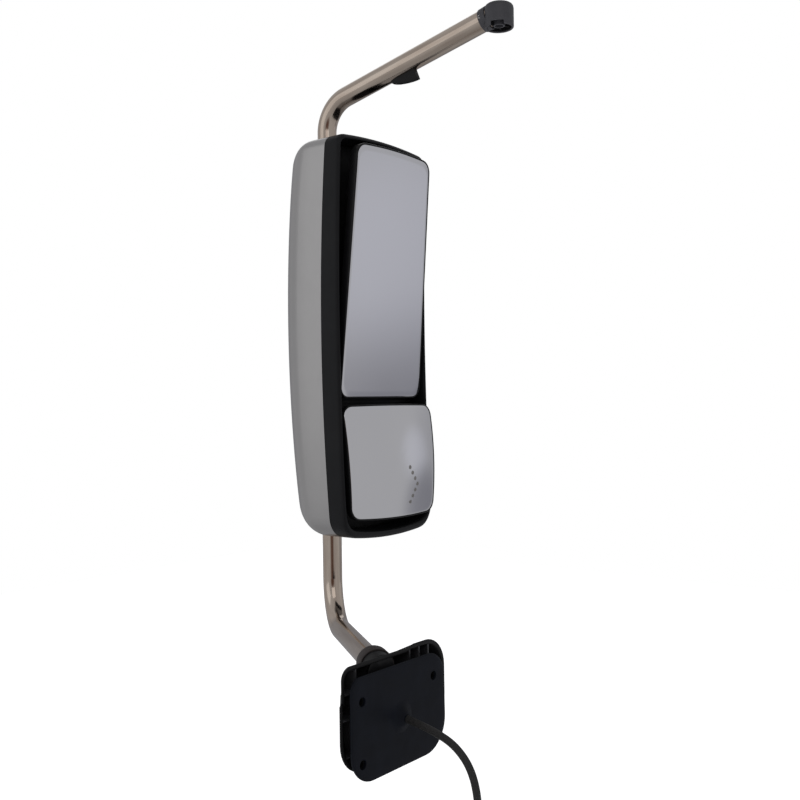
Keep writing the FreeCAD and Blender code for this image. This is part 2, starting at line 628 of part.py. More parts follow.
JACK_SPOTS = ((0.0, -JACK_REACH), (JACK_REACH, 0.0))


def turn_of(glass):
    return FreeCAD.Rotation(Z, glass["pan"]).multiply(FreeCAD.Rotation(X, glass["tilt"]))


def set_out(shape, glass):
    """Turn a piece drawn about its pivot to the glass's rest angle and put it in place."""
    pivot = vec(glass["x"], PIVOT_Y, glass["z"])
    return shape.transformed(FreeCAD.Placement(pivot, turn_of(glass)).toMatrix())


def glass_form(glass, grow, near, far):
    """The glass's outline grown by a margin, between two depths; it is widest where the glasses meet."""
    high, wide, narrow = glass["half_high"], glass["wide"], glass["narrow"]
    shoulder = high - glass["arch"]
    points, radii = [], []
    for x, z in [(-wide, -high), (wide, -high), (narrow, shoulder), (0, high), (-narrow, shoulder)]:
        side_x = 0 if x == 0 else math.copysign(1, x)
        points.append((x + grow * side_x, (z + grow * math.copysign(1, z)) * glass["flip"]))
        radii.append(400.0 if x == 0 else GLASS_CORNER_R + grow)
    return plate(points, radii, near - glass["face"], far - glass["face"])


def ball(glass, depth):
    """A ball whose near side follows the domed face at a depth."""
    return Part.makeSphere(LENS_R - depth, vec(0, LENS_R - glass["face"], 0), Z, -90, 90, 360)


def behind(glass, grow, near, far):
    """The outline's space from a depth that follows the face to a flat one."""
    form = glass_form(glass, grow, near, far)
    return form.common(ball(glass, near)) if glass["domed"] else form


def layer(glass, grow, near, far):
    """The outline's space between two depths that both follow the face."""
    if not glass["domed"]:
        return glass_form(glass, grow, near, far)
    return behind(glass, grow, near, 40.0).cut(ball(glass, far))


def signal_spots():
    """Seven lamps in an arrow that points outboard, low on the lower glass."""
    spots = []
    for i in range(-3, 4):
        spots.append((SIGNAL_TIP[0] - abs(i) * SIGNAL_STEP[0], SIGNAL_TIP[1] + i * SIGNAL_STEP[1]))
    return spots


def drill_for_lamps(shape, radius):
    for x, z in signal_spots():
        shape = shape.cut(rod(vec(x, -LOWER["face"] - 2.0, z), Y, radius, BOARD_DEPTH + 4.0))
    return shape


def glass_pane(glass):
    pane = layer(glass, 0.0, 0.0, glass["thick"])
    if glass is LOWER:
        pane = drill_for_lamps(pane, LAMP_R + 0.1)
    return set_out(pane, glass)


def heater(glass):
    near = glass["thick"] + HEATER_GAP
    foil = layer(glass, -6.0, near, near + 0.5)
    if glass is LOWER:
        foil = drill_for_lamps(foil, LAMP_R + 0.5)
    return set_out(foil, glass)


def backing(glass):
    """The black carrier behind a glass: rim, floor, skirt, pivot ears and jack cups."""
    pocket = glass["thick"] + 0.5 + 2 * HEATER_GAP
    floor = pocket + FLOOR_T
    body = behind(glass, BACKING_RIM, glass["lip"], glass["depth"])
    body = body.cut(layer(glass, 0.1, -1.0, pocket))
    body = body.cut(behind(glass, -1.5, floor, glass["depth"] + 1.0))
    floor_y = floor - 1.0 - glass["face"]
    fittings = []
    for side in (-1, 1):
        near, far = sorted((side * LUG_NEAR, side * LUG_FAR))
        ear = rod(vec(near, 0, 0), X, LUG_R, far - near).fuse(block(near, far, floor_y, 0, -LUG_R, LUG_R))
        fittings.append(ear.cut(rod(vec(near - 1, 0, 0), X, PIN_R + RUNNING, far - near + 2)))
    for x, z in JACK_SPOTS:
        cup = rod(vec(x, floor_y, z), Y, BALL_R + 3.5, BALL_R - 2.0 - floor_y)
        cup = cup.cut(Part.makeSphere(BALL_R + 1.2, vec(x, 0, z)))
        fittings.append(cup.cut(rod(vec(x, 0, z), Y, BALL_R - 0.2, 10)))
    body = body.multiFuse(fittings)
    if glass is LOWER:
        body = drill_for_lamps(body, LAMP_R + 0.2)
    return set_out(body, glass)


def pivot_cross(glass):
    """The gimbal: an upright pin in the actuator's lugs and a level pin in the backing's ears."""
    centre = vec(glass["x"], PIVOT_Y, glass["z"])
    upright = rod(centre - Z * 15.5, Z, PIN_R, 31.0)
    level = rod(vec(-15.5, 0, 0), X, PIN_R, 31.0)
    level.rotate(vec(0, 0, 0), Z, glass["pan"])
    level.translate(centre)
    hub = Part.makeSphere(6.0, centre)
    return upright.multiFuse([level, hub])


def jack_place(glass, x, z):
    """Where a jack's ball lies with the glass at rest."""
    return vec(glass["x"], PIVOT_Y, glass["z"]) + turn_of(glass).multVec(vec(x, 0, z))


def jackscrew(glass, spot):
    place = jack_place(glass, *spot)
    stem = rod(place, Y, JACK_R, CHASSIS_Y - JACK_BACK - place.y)
    return Part.makeSphere(BALL_R, place).fuse(stem)


def actuator_case(glass):
    """A round case open at the back, with two lugs for the gimbal and two jack guides."""
    centre = vec(glass["x"], ACTUATOR_FRONT_Y, glass["z"])
    case = rod(centre, Y, ACTUATOR_R, CHASSIS_Y - ACTUATOR_LID - ACTUATOR_FRONT_Y)
    case = case.cut(rod(centre + Y * 3.0, Y, ACTUATOR_R - ACTUATOR_WALL, CHASSIS_Y - ACTUATOR_FRONT_Y))
    fittings = []
    for side in (-1, 1):
        near, far = sorted((centre.z + side * LUG_NEAR, centre.z + side * LUG_FAR))
        lug = rod(vec(centre.x, PIVOT_Y, near), Z, LUG_R, far - near)
        lug = lug.fuse(block(centre.x - LUG_R, centre.x + LUG_R, PIVOT_Y, ACTUATOR_FRONT_Y + 1, near, far))
        fittings.append(lug.cut(rod(vec(centre.x, PIVOT_Y, near - 1), Z, PIN_R + RUNNING, far - near + 2)))
    places = [jack_place(glass, x, z) for x, z in JACK_SPOTS]
    for place in places:
        fittings.append(rod(vec(place.x, ACTUATOR_FRONT_Y + 1, place.z), Y, JACK_R + 3.0, 12.0))
    case = case.multiFuse(fittings)
    for place in places:
        case = case.cut(rod(vec(place.x, ACTUATOR_FRONT_Y - 1, place.z), Y, JACK_R + RUNNING, 20.0))
    return case


def actuator_cover(glass):
    return rod(vec(glass["x"], CHASSIS_Y - ACTUATOR_LID, glass["z"]), Y, ACTUATOR_R, ACTUATOR_LID)


def actuator_motors(glass):
    """Two small motors lying inside the case, one for each jackscrew."""
    middle_y = (ACTUATOR_FRONT_Y + 3.0 + CHASSIS_Y - ACTUATOR_LID) / 2.0
    motors = []
    for z in (-28.0, 8.0):
        start = vec(glass["x"] - 20.0, middle_y, glass["z"] + z)
        can = rod(start, Z, MOTOR_R, MOTOR_LENGTH)
        motors.append(can.fuse(rod(start + Z * MOTOR_LENGTH, Z, 1.5, 5.0)))
    return motors


def signal_board():
    """The lamp board behind the lower glass, standing off the backing's floor."""
    near = BOARD_DEPTH - LOWER["face"]
    return set_out(block(22, 62, near, near + BOARD_T, -77, -10), LOWER)


def signal_lamps():
    """Each lamp stands on the board and ends just behind the glass's domed face."""
    lamps = []
    for x, z in signal_spots():
        start = (x * x + z * z) / (2.0 * LENS_R) + 0.6
        lamps.append(set_out(rod(vec(x, start - LOWER["face"], z), Y, LAMP_R, BOARD_DEPTH - start), LOWER))
    return lamps


# ---------------------------------------------------------------- write every node
def main():
    save("door_gasket", door_gasket())
    save("base_housing", base_housing())
    save("base_inserts", *base_inserts())
    save("socket_sleeve", socket_sleeve())
    save("socket_screws", *socket_screws())
    save("arm_boot", arm_boot())
    save("cable_grommet", cable_grommet())
    save("cable_lead", cable_lead())
    save("cable_hank", cable_hank())
    save("cable_tie", cable_tie())
    save("cable_plug", cable_plug())
    save("tube_harness", pipe(harness_points(), [0, 12, 13.5, LOWER_BEND_R, 0], HARNESS_R))
    save("arm_tube", arm_tube())
    save("pivot_boss", pivot_boss())
    save("pivot_bushing", pivot_bushing())
    save("boss_pin", cross_pin(17.3))
    save("arm_hook", arm_hook())
    save("hook_rivets", *hook_rivets())
    save("cover_shell", cover_shell())
    save("bezel", bezel())
    save("chassis_plate", chassis_plate())
    save("shell_screws", *shell_screws())
    for name, z in zip(("lower", "upper"), CLAMP_Z):
        save(name + "_clamp_block", clamp_block(z))
        save(name + "_clamp_cap", clamp_cap(z))
    save("clamp_bolts", *clamp_bolts())
    save("friction_liners", *friction_liners())
    save("bottom_grommet", shell_grommet(HEAD_LOW - 1.0, HEAD_LOW + 16.0))
    save("top_grommet", shell_grommet(HEAD_HIGH - 16.0, HEAD_HIGH + 1.0))
    for glass in (UPPER, LOWER):
        name = glass["name"]
        save(name + "_glass", glass_pane(glass))
        save(name + "_heater", heater(glass))
        save(name + "_backing", backing(glass))
        save(name + "_pivot_cross", pivot_cross(glass))
        save(name + "_tilt_jack", jackscrew(glass, JACK_SPOTS[0]))
        save(name + "_pan_jack", jackscrew(glass, JACK_SPOTS[1]))
        save(name + "_actuator_case", actuator_case(glass))
        save(name + "_actuator_cover", actuator_cover(glass))
        save(name + "_actuator_motors", *actuator_motors(glass))
    save("signal_board", signal_board())
    save("signal_lamps", *signal_lamps())


main()
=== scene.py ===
"""Looks for the truck side mirror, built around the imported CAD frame. Metres, +Z up."""

import json
import math

import bmesh
import bpy
from mathutils import Matrix, Vector


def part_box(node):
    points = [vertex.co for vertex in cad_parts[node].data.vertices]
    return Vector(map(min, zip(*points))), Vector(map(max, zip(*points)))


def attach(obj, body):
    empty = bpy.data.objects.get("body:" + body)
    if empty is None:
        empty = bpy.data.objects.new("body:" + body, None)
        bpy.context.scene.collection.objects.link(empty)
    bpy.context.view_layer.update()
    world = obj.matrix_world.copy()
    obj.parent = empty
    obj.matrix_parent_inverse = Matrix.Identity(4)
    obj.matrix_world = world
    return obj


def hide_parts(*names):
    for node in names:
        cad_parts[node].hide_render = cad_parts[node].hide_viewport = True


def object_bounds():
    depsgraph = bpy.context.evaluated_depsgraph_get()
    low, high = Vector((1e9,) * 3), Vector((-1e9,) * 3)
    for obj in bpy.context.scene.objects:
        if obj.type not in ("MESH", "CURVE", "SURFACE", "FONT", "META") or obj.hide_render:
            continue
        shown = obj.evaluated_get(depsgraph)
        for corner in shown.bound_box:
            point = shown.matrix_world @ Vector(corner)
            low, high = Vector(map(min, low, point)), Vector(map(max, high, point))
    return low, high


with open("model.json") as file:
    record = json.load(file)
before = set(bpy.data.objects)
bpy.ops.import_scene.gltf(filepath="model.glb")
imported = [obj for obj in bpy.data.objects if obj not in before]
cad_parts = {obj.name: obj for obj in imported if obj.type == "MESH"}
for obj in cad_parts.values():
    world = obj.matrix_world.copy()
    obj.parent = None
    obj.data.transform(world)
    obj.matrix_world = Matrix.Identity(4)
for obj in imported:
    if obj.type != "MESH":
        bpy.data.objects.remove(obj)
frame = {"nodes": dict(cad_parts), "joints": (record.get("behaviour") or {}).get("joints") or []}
CAD_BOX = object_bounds()
MM = 0.001

JOINTS = {joint["name"]: joint for joint in frame["joints"]}
HEAD_AXIS = Vector(JOINTS["head_swivel"]["pos_m"]) / MM
BEZEL_LOW, BEZEL_HIGH = (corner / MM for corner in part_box("bezel"))
SHELL_LOW, SHELL_HIGH = (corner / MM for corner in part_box("cover_shell"))
PAD_LOW, PAD_HIGH = (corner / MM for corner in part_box("door_gasket"))
GROMMET_LOW, GROMMET_HIGH = (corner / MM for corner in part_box("cable_grommet"))

# Driving dimensions in millimetres, as the CAD has them.
TUBE_R, TUBE_WALL = 15.875, 2.0
ARM_LOW_Z, ARM_TOP_Z = 13.9, 870.0
LOWER_HEADING, LOWER_RISE = math.radians(52.0), math.radians(-1.7)
UPPER_HEADING, UPPER_RISE = math.radians(-89.0), math.radians(12.8)
LOWER_BEND_R, UPPER_BEND_R, UPPER_REACH = 72.0, 55.0, 345.0
# Bowed lines seen from the side: (y at the fullest point, curvature, height of that point).
RIM_LINE = (236.5, 0.88e-4, 520.0)
SEAM_LINE = (272.5, 1.4e-4, 495.0)
FRONT_LINE = (381.0, 2.2e-4, 515.0)
BOLTS = [(-75.75, 0.0), (75.75, 0.0), (-75.75, -79.4)]
BOLT_HOLE_R = 5.25

UP = Vector((0, 0, 1))
AWAY = Vector((0, 1, 0))
# The angle in degrees beyond which an edge is shown sharp.
SHARP = 32.0


# ---------------------------------------------------------------- mesh helpers
def make_piece(name, body, material, build, replaced=(), sharp=SHARP, uvs=None):
    """A mesh from points in millimetres, riding on a body."""
    mesh = build.mesh(name)
    mesh.validate()
    if uvs is not None:
        layer = mesh.uv_layers.new(name="UVMap")
        for loop in mesh.loops:
            layer.data[loop.index].uv = uvs[loop.vertex_index]
    obj = link_object(name, mesh)
    tidy_mesh(mesh, sharp)
    mesh.materials.append(material)
    settle(obj, body, replaced)
    return obj


def link_object(name, data):
    obj = bpy.data.objects.new(name, data)
    bpy.context.scene.collection.objects.link(obj)
    return obj


def tidy_mesh(mesh, sharp):
    work = bmesh.new()
    work.from_mesh(mesh)
    bmesh.ops.recalc_face_normals(work, faces=work.faces)
    work.to_mesh(mesh)
    work.free()
    mesh.shade_smooth()
    mesh.set_sharp_from_angle(angle=math.radians(sharp))


def settle(obj, body, replaced=()):
    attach(obj, body)
    if replaced:
        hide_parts(*replaced)


class Build:
    """Collects the points and faces of one piece."""

    def __init__(self):
        self.verts, self.faces = [], []

    def mesh(self, name):
        mesh = bpy.data.meshes.new(name)
        mesh.from_pydata([Vector(v) * MM for v in self.verts], [], self.faces)
        return mesh

    def loft(self, rings, cap_start=True, cap_end=True, closed=True):
        count = len(rings[0])
        first = len(self.verts)
        for ring in rings:
            self.verts.extend(tuple(p) for p in ring)
        spans = count if closed else count - 1
        for k in range(len(rings) - 1):
            a, b = first + k * count, first + (k + 1) * count
            for i in range(spans):
                j = (i + 1) % count
                self.faces.append((a + i, a + j, b + j, b + i))
        if cap_start:
            self.faces.append(tuple(range(first, first + count)))
        if cap_end:
            last = first + (len(rings) - 1) * count
            self.faces.append(tuple(reversed(range(last, last + count))))
        return self

    def hoop(self, rings):
        """A loft whose last ring joins its first, such as a frame or a pipe with a wall."""
        count, first = len(rings[0]), len(self.verts)
        self.loft(rings, False, False)
        last = first + (len(rings) - 1) * count
        for i in range(count):
            j = (i + 1) % count
            self.faces.append((last + i, last + j, first + j, first + i))
        return self

    def lathe(self, origin, axis, profile, steps=64, cap_start=False, cap_end=False):
        """Turn a profile of (radius, distance along the axis) about an axis."""
        return self.loft(turned(origin, axis, profile, steps), cap_start, cap_end)

    def cylinder(self, origin, axis, radius, length, steps=64):
        return self.lathe(origin, axis, [(radius, 0.0), (radius, length)], steps, True, True)

    def box(self, low, high, matrix=None):
        corners = [Vector((x, y, z)) for x in (low[0], high[0]) for y in (low[1], high[1])
                   for z in (low[2], high[2])]
        if matrix is not None:
            corners = [matrix @ c for c in corners]
        n = len(self.verts)
        self.verts.extend(tuple(c) for c in corners)
        quads = ((0, 1, 3, 2), (4, 6, 7, 5), (0, 4, 5, 1), (2, 3, 7, 6), (0, 2, 6, 4), (1, 5, 7, 3))
        self.faces.extend(tuple(n + i for i in quad) for quad in quads)
        return self


def circle_angles(steps):
    return [2 * math.pi * i / steps for i in range(steps)]


def turned(origin, axis, profile, steps):
    """One circle for each (radius, distance along the axis)."""
    u, v = across(axis)
    rings = []
    for radius, along in profile:
        centre = Vector(origin) + axis * along
        rings.append([centre + (u * math.cos(t) + v * math.sin(t)) * radius for t in circle_angles(steps)])
    return rings


def across(axis):
    """Two unit directions square to an axis."""
    helper = UP if abs(axis.z) < 0.9 else Vector((1, 0, 0))
    u = axis.cross(helper).normalized()
    return u, axis.cross(u).normalized()


def heading(angle, rise=0.0):
    return Vector((math.cos(rise) * math.cos(angle), math.cos(rise) * math.sin(angle), math.sin(rise)))


def outline(corners, bulges, trims, side_steps=14, corner_steps=9):
    """A closed outline through (x, z) corners: bowed sides joined by smooth round corners."""
    count = len(corners)
    sides = []
    for i in range(count):
        a, b = Vector(corners[i]), Vector(corners[(i + 1) % count])
        along = b - a
        outward = Vector((along.y, -along.x)).normalized() * bulges[i]
        t0, t1 = trims[i] / along.length, 1.0 - trims[(i + 1) % count] / along.length

        def at(t, a=a, along=along, outward=outward):
            return a + along * t + outward * 4.0 * t * (1.0 - t)

        def slope(t, along=along, outward=outward):
            return (along + outward * 4.0 * (1.0 - 2.0 * t)).normalized()

        sides.append((at, slope, t0, t1))
    points = []
    for i in range(count):
        at, slope, t0, t1 = sides[i]
        points.extend(at(t0 + (t1 - t0) * k / side_steps) for k in range(side_steps))
        next_at, next_slope, n0, _ = sides[(i + 1) % count]
        start, end = at(t1), next_at(n0)
        reach = (end - start).length * 0.39
        p1, p2 = start + slope(t1) * reach, end - next_slope(n0) * reach
        for k in range(corner_steps):
            t = k / corner_steps
            s = 1.0 - t
            points.append(start * s ** 3 + p1 * 3 * s * s * t + p2 * 3 * s * t * t + end * t ** 3)
    return points


def grown(corners, grow, middle=(0.0, 0.0)):
    """Corners moved away from the middle by a margin, or towards it by a negative one."""
    return [(x + grow * math.copysign(1.0, x - middle[0]), z + grow * math.copysign(1.0, z - middle[1]))
            for x, z in corners]


def bowed(line, z):
    """The y of a bowed line at a height."""
    fullest, curvature, height = line
    return fullest - curvature * (z - height) ** 2


# The trims of the head's corners: lower front, lower rear, upper rear, upper front.
HEAD_RADII = [29.0, 38.0, 24.0, 17.0]


def head_outline(side, low, high):
    """The head's outline seen from the door, drawn in by a margin at each edge."""
    left, right = BEZEL_LOW.x + side, BEZEL_HIGH.x - side
    arch_low, arch_high = 10.2, 7.2
    bottom, top = BEZEL_LOW.z + low + arch_low, BEZEL_HIGH.z - high - arch_high
    radii = [r - side for r in HEAD_RADII]
    corners = [(left, bottom), (right, bottom), (right, top), (left, top)]
    return outline(corners, [arch_low, 0.0, arch_high, 0.0], radii, 22, 12)


def bent_path(points, radii, turn_step=3.0):
    """Points along straight runs joined by tangent arcs."""
    path = [Vector(points[0])]
    for i in range(1, len(points) - 1):
        here = Vector(points[i])
        back, ahead = (Vector(points[i - 1]) - here).normalized(), (Vector(points[i + 1]) - here).normalized()
        turn = math.pi - back.angle(ahead)
        centre = here + (back + ahead).normalized() * radii[i] / math.cos(turn / 2)
        start = here + back * radii[i] * math.tan(turn / 2)
        axis = back.cross(ahead).normalized()
        steps = max(2, round(math.degrees(turn) / turn_step))
        arm = start - centre
        for k in range(steps + 1):
            path.append(centre + Matrix.Rotation(-turn * k / steps, 3, axis) @ arm)
    path.append(Vector(points[-1]))
    return path


def sweep(path, radius, steps=48):
    """Rings and a UV for each point, for a round tube along a path."""
    tangents = []
    for i in range(len(path)):
        a, b = path[max(i - 1, 0)], path[min(i + 1, len(path) - 1)]
        tangents.append((b - a).normalized())
    u, _ = across(tangents[0])
    rings, uvs, run = [], [], 0.0
    for i, point in enumerate(path):
        if i:
            run += (point - path[i - 1]).length
            turn = tangents[i - 1].rotation_difference(tangents[i])
            u = turn @ u
        u = (u - tangents[i] * u.dot(tangents[i])).normalized()
        v = tangents[i].cross(u)
        rings.append([point + (u * math.cos(t) + v * math.sin(t)) * radius for t in circle_angles(steps)])
        uvs.extend((abs(2.0 * k / steps - 1.0), run * MM) for k in range(steps))
    return rings, uvs


def boolean(obj, cutter_build, operation="DIFFERENCE", crossed=False):
    """Cut a piece with a closed cutter, or keep only what lies inside it.

    A piece whose own solids overlap is crossed.
    """
    mesh = cutter_build.mesh("cutter")
    tidy_mesh(mesh, SHARP)
    cutter = link_object("cutter", mesh)
    change = obj.modifiers.new("cut", "BOOLEAN")
    change.operation = operation
    change.solver = "EXACT"
    change.object = cutter
    change.use_self = crossed
    apply_modifiers(obj)
    bpy.data.objects.remove(cutter)


def apply_modifiers(obj, sharp=SHARP):
    bpy.context.view_layer.update()
    depsgraph = bpy.context.evaluated_depsgraph_get()
    mesh = bpy.data.meshes.new_from_object(obj.evaluated_get(depsgraph), depsgraph=depsgraph)
    obj.modifiers.clear()
    obj.data = mesh
    mesh.shade_smooth()
    mesh.set_sharp_from_angle(angle=math.radians(sharp))


# ---------------------------------------------------------------- material helpers
def new_material(name, color, roughness, metallic=0.0, specular=0.5, coat=0.0):
    material = bpy.data.materials.new(name)
    material.use_nodes = True
    shader = material.node_tree.nodes["Principled BSDF"]
    shader.inputs["Base Color"].default_value = (*color, 1.0)
    shader.inputs["Roughness"].default_value = roughness
    shader.inputs["Metallic"].default_value = metallic
    shader.inputs["Specular IOR Level"].default_value = specular
    shader.inputs["Coat Weight"].default_value = coat
    return material, material.node_tree, shader


def texture_coords(tree, kind="Object", scale=(1, 1, 1)):
    coords = tree.nodes.new("ShaderNodeTexCoord")
    mapping = tree.nodes.new("ShaderNodeMapping")
    mapping.inputs["Scale"].default_value = scale
    tree.links.new(coords.outputs[kind], mapping.inputs["Vector"])
    return mapping.outputs["Vector"]


def noise(tree, vector, scale, detail=3.0, rough=0.55):
    node = tree.nodes.new("ShaderNodeTexNoise")
    node.inputs["Scale"].default_value = scale
    node.inputs["Detail"].default_value = detail
    node.inputs["Roughness"].default_value = rough
    tree.links.new(vector, node.inputs["Vector"])
    return node.outputs["Fac"]


def voronoi(tree, vector, scale):
    node = tree.nodes.new("ShaderNodeTexVoronoi")
    node.inputs["Scale"].default_value = scale
    tree.links.new(vector, node.inputs["Vector"])
    return node.outputs["Distance"]


def ramp(tree, value, stops):
    node = tree.nodes.new("ShaderNodeValToRGB")
    elements = node.color_ramp.elements
    while len(elements) < len(stops):
        elements.new(0.5)
    for element, (position, color) in zip(elements, stops):
        element.position = position
        element.color = (*color, 1.0)
    tree.links.new(value, node.inputs["Fac"])
    return node.outputs["Color"]


def spread(tree, value, low, high):
    node = tree.nodes.new("ShaderNodeMapRange")
    node.inputs["To Min"].default_value = low
    node.inputs["To Max"].default_value = high
    tree.links.new(value, node.inputs["Value"])
    return node.outputs["Result"]


def bump(tree, shader, heights, strength, distance):
    node = tree.nodes.new("ShaderNodeBump")
    node.inputs["Strength"].default_value = strength
    node.inputs["Distance"].default_value = distance
    tree.links.new(heights, node.inputs["Height"])
    tree.links.new(node.outputs["Normal"], shader.inputs["Normal"])


def grained(name, color, roughness, grain=900.0, strength=0.25, tint=(1.25, 1.25, 1.25), specular=0.4):
    """Moulded plastic or rubber: fine grain, cloudy gloss and a slightly uneven colour."""
    material, tree, shader = new_material(name, color, roughness, specular=specular)
    vector = texture_coords(tree)
    lighter = tuple(min(c * t, 1.0) for c, t in zip(color, tint))
    cloud = noise(tree, vector, 35.0, 4.0)
    tree.links.new(ramp(tree, cloud, [(0.35, color), (0.7, lighter)]), shader.inputs["Base Color"])
    tree.links.new(spread(tree, noise(tree, vector, 60.0, 5.0), roughness - 0.08, roughness + 0.1),
                   shader.inputs["Roughness"])
    bump(tree, shader, noise(tree, vector, grain, 2.0, 0.7), strength, 0.0003)
    return material


def metal(name, color, roughness, grain=500.0, strength=0.1, spread_by=0.08, cloud=0.86):
    """Plated or cast metal with uneven gloss."""
    material, tree, shader = new_material(name, color, roughness, metallic=1.0)
    vector = texture_coords(tree)
    darker = tuple(c * cloud for c in color)
    tree.links.new(ramp(tree, noise(tree, vector, 25.0, 4.0), [(0.3, darker), (0.65, color)]),
                   shader.inputs["Base Color"])
    tree.links.new(spread(tree, noise(tree, vector, 90.0, 6.0), roughness - spread_by, roughness + spread_by),
                   shader.inputs["Roughness"])
    bump(tree, shader, noise(tree, vector, grain, 3.0), strength, 0.0002)
    return material


def polished_tube():
    """Polished stainless: draw lines along the tube, faint smears, warm grey."""
    color = (0.45, 0.385, 0.33)
    material, tree, shader = new_material("polished_stainless", color, 0.12, metallic=1.0)
    vector = texture_coords(tree, "UV", (260.0, 2.0, 1.0))
    streaks = noise(tree, vector, 1.0, 3.0, 0.6)
    smears = noise(tree, texture_coords(tree, "UV", (5.0, 9.0, 1.0)), 1.0, 5.0)
    tree.links.new(ramp(tree, smears, [(0.3, (0.385, 0.315, 0.262)), (0.7, (0.53, 0.46, 0.395))]),
                   shader.inputs["Base Color"])
    tree.links.new(spread(tree, smears, 0.07, 0.2), shader.inputs["Roughness"])
    bump(tree, shader, streaks, 0.06, 0.0002)
    return material


def mirror_surface(name, color):
    """Mirror glass: a clean metal face with the faintest haze."""
    material, tree, shader = new_material(name, color, 0.1, metallic=1.0, coat=0.3)
    vector = texture_coords(tree)
    haze = noise(tree, vector, 6.0, 3.0)
    darker = tuple(c * 0.985 for c in color)
    tree.links.new(ramp(tree, haze, [(0.35, darker), (0.65, color)]), shader.inputs["Base Color"])
    tree.links.new(spread(tree, haze, 0.08, 0.17), shader.inputs["Roughness"])
    return material


def sleeve_weave():
    """Braided cable sleeve: crossed ribs at about a millimetre."""
    material, tree, shader = new_material("cable_braid", (0.012, 0.011, 0.011), 0.62, specular=0.35)
    vector = texture_coords(tree)
    cells = voronoi(tree, vector, 650.0)
    tree.links.new(ramp(tree, cells, [(0.1, (0.022, 0.02, 0.02)), (0.6, (0.007, 0.007, 0.007))]),
                   shader.inputs["Base Color"])
    tree.links.new(spread(tree, noise(tree, vector, 120.0), 0.5, 0.72), shader.inputs["Roughness"])
    bump(tree, shader, cells, 0.5, 0.0006)
    return material


MAT = {
    "gasket": grained("gasket_rubber_look", (0.0036, 0.0044, 0.0068), 0.5, 420.0, 0.2,
                      (1.3, 1.35, 1.45), 0.08),
    "black": grained("black_moulding", (0.0055, 0.0055, 0.0060), 0.46, 900.0, 0.3, specular=0.15),
    "bezel": grained("bezel_moulding", (0.0052, 0.0055, 0.0064), 0.40, 1100.0, 0.25, specular=0.14),
    "frame": grained("frame_moulding", (0.0045, 0.0045, 0.0050), 0.38, 1200.0, 0.12, specular=0.15),
    # The ribs are the housing's black plastic with a lighter colour: painted highlight on their edges.
    "ribs": grained("ribs_painted_highlight", (0.030, 0.030, 0.033), 0.38, 900.0, 0.2, specular=0.35),
    "casting": grained("coated_casting", (0.034, 0.034, 0.039), 0.48, 520.0, 0.55, specular=0.3),
    "rubber": grained("soft_rubber", (0.028, 0.023, 0.022), 0.58, 600.0, 0.25, specular=0.25),
    "nylon": grained("nylon_look", (0.015, 0.015, 0.016), 0.42, 700.0, 0.15, specular=0.25),
    "tube": polished_tube(),
    "shell": metal("satin_bright_cover", (0.375, 0.37, 0.37), 0.3, 700.0, 0.03, 0.03, 0.97),
    "zinc": metal("zinc_plate", (0.55, 0.55, 0.53), 0.32, 400.0, 0.12),
    "alloy": metal("cast_alloy", (0.5, 0.51, 0.52), 0.45, 350.0, 0.35),
    "steel_can": metal("drawn_can", (0.6, 0.6, 0.6), 0.25),
    "mirror": mirror_surface("mirror_face", (0.60, 0.60, 0.63)),
    "convex": mirror_surface("convex_mirror_face", (0.60, 0.60, 0.62)),
    "braid": sleeve_weave(),
    "foil": grained("heater_foil_look", (0.45, 0.22, 0.05), 0.4, 300.0, 0.1),
    "board": grained("board_mask", (0.02, 0.12, 0.05), 0.35, 500.0, 0.1),
    "lamp": grained("lamp_window", (0.125, 0.118, 0.114), 0.3, 900.0, 0.1),
}
# The look of each CAD node that is shown as it is.
CAD_MATERIALS = {
    # base_inserts are steel but wear the black moulding look: painted shade in the bolt holes.
    "base_inserts": "black", "chassis_plate": "black", "signal_board": "board",
    "socket_screws": "zinc", "boss_pin": "zinc", "shell_screws": "zinc", "clamp_bolts": "zinc",
    "pivot_bushing": "casting", "hook_rivets": "casting", "socket_sleeve": "alloy",
    "tube_harness": "braid", "friction_liners": "nylon",
    "bottom_grommet": "rubber", "top_grommet": "rubber",
}
# The same for nodes that come as an upper and a lower one.
PAIRED_MATERIALS = {
    "clamp_block": "alloy", "clamp_cap": "alloy", "actuator_case": "black", "actuator_cover": "black",
    "actuator_motors": "steel_can", "heater": "foil", "pivot_cross": "zinc",
    "tilt_jack": "nylon", "pan_jack": "nylon",
}


def dress_cad_nodes():
    looks = dict(CAD_MATERIALS)
    for half in ("upper_", "lower_"):
        looks.update({half + part: key for part, key in PAIRED_MATERIALS.items()})
    for node, key in looks.items():
        for slot in frame["nodes"][node].material_slots:
            slot.material = MAT[key]


# ---------------------------------------------------------------- head
def bezel_frame():
    """The band behind the glasses: a bead-edged rim, thicker at the top and the bottom.

    Its profile is the distance in from the side and the share of the way from the rim's line to the seam's.
    """
    profile = [(2.9, 1.07), (0.7, 1.01), (0.0, 0.985), (0.0, 0.61), (0.0, 0.26), (0.35, 0.17), (1.2, 0.09),
               (2.5, 0.036), (4.1, 0.011), (5.4, 0.03), (6.2, 0.09), (6.6, 0.22), (7.0, 0.55), (7.4, 1.11),
               (3.4, 1.11)]
    skin, more_low, more_high = 1.0, 1.1, 0.35
    rings = []
    for side, share in profile:
        past = max(side - skin, 0.0)
        rings.append([(x, bowed(RIM_LINE, z) + (bowed(SEAM_LINE, z) - bowed(RIM_LINE, z)) * share, z)
                      for x, z in head_outline(side, side + past * more_low, side + past * more_high)])
    build = Build().hoop(rings)
    return make_piece("bezel_band", "head", MAT["bezel"], build, ["bezel"])


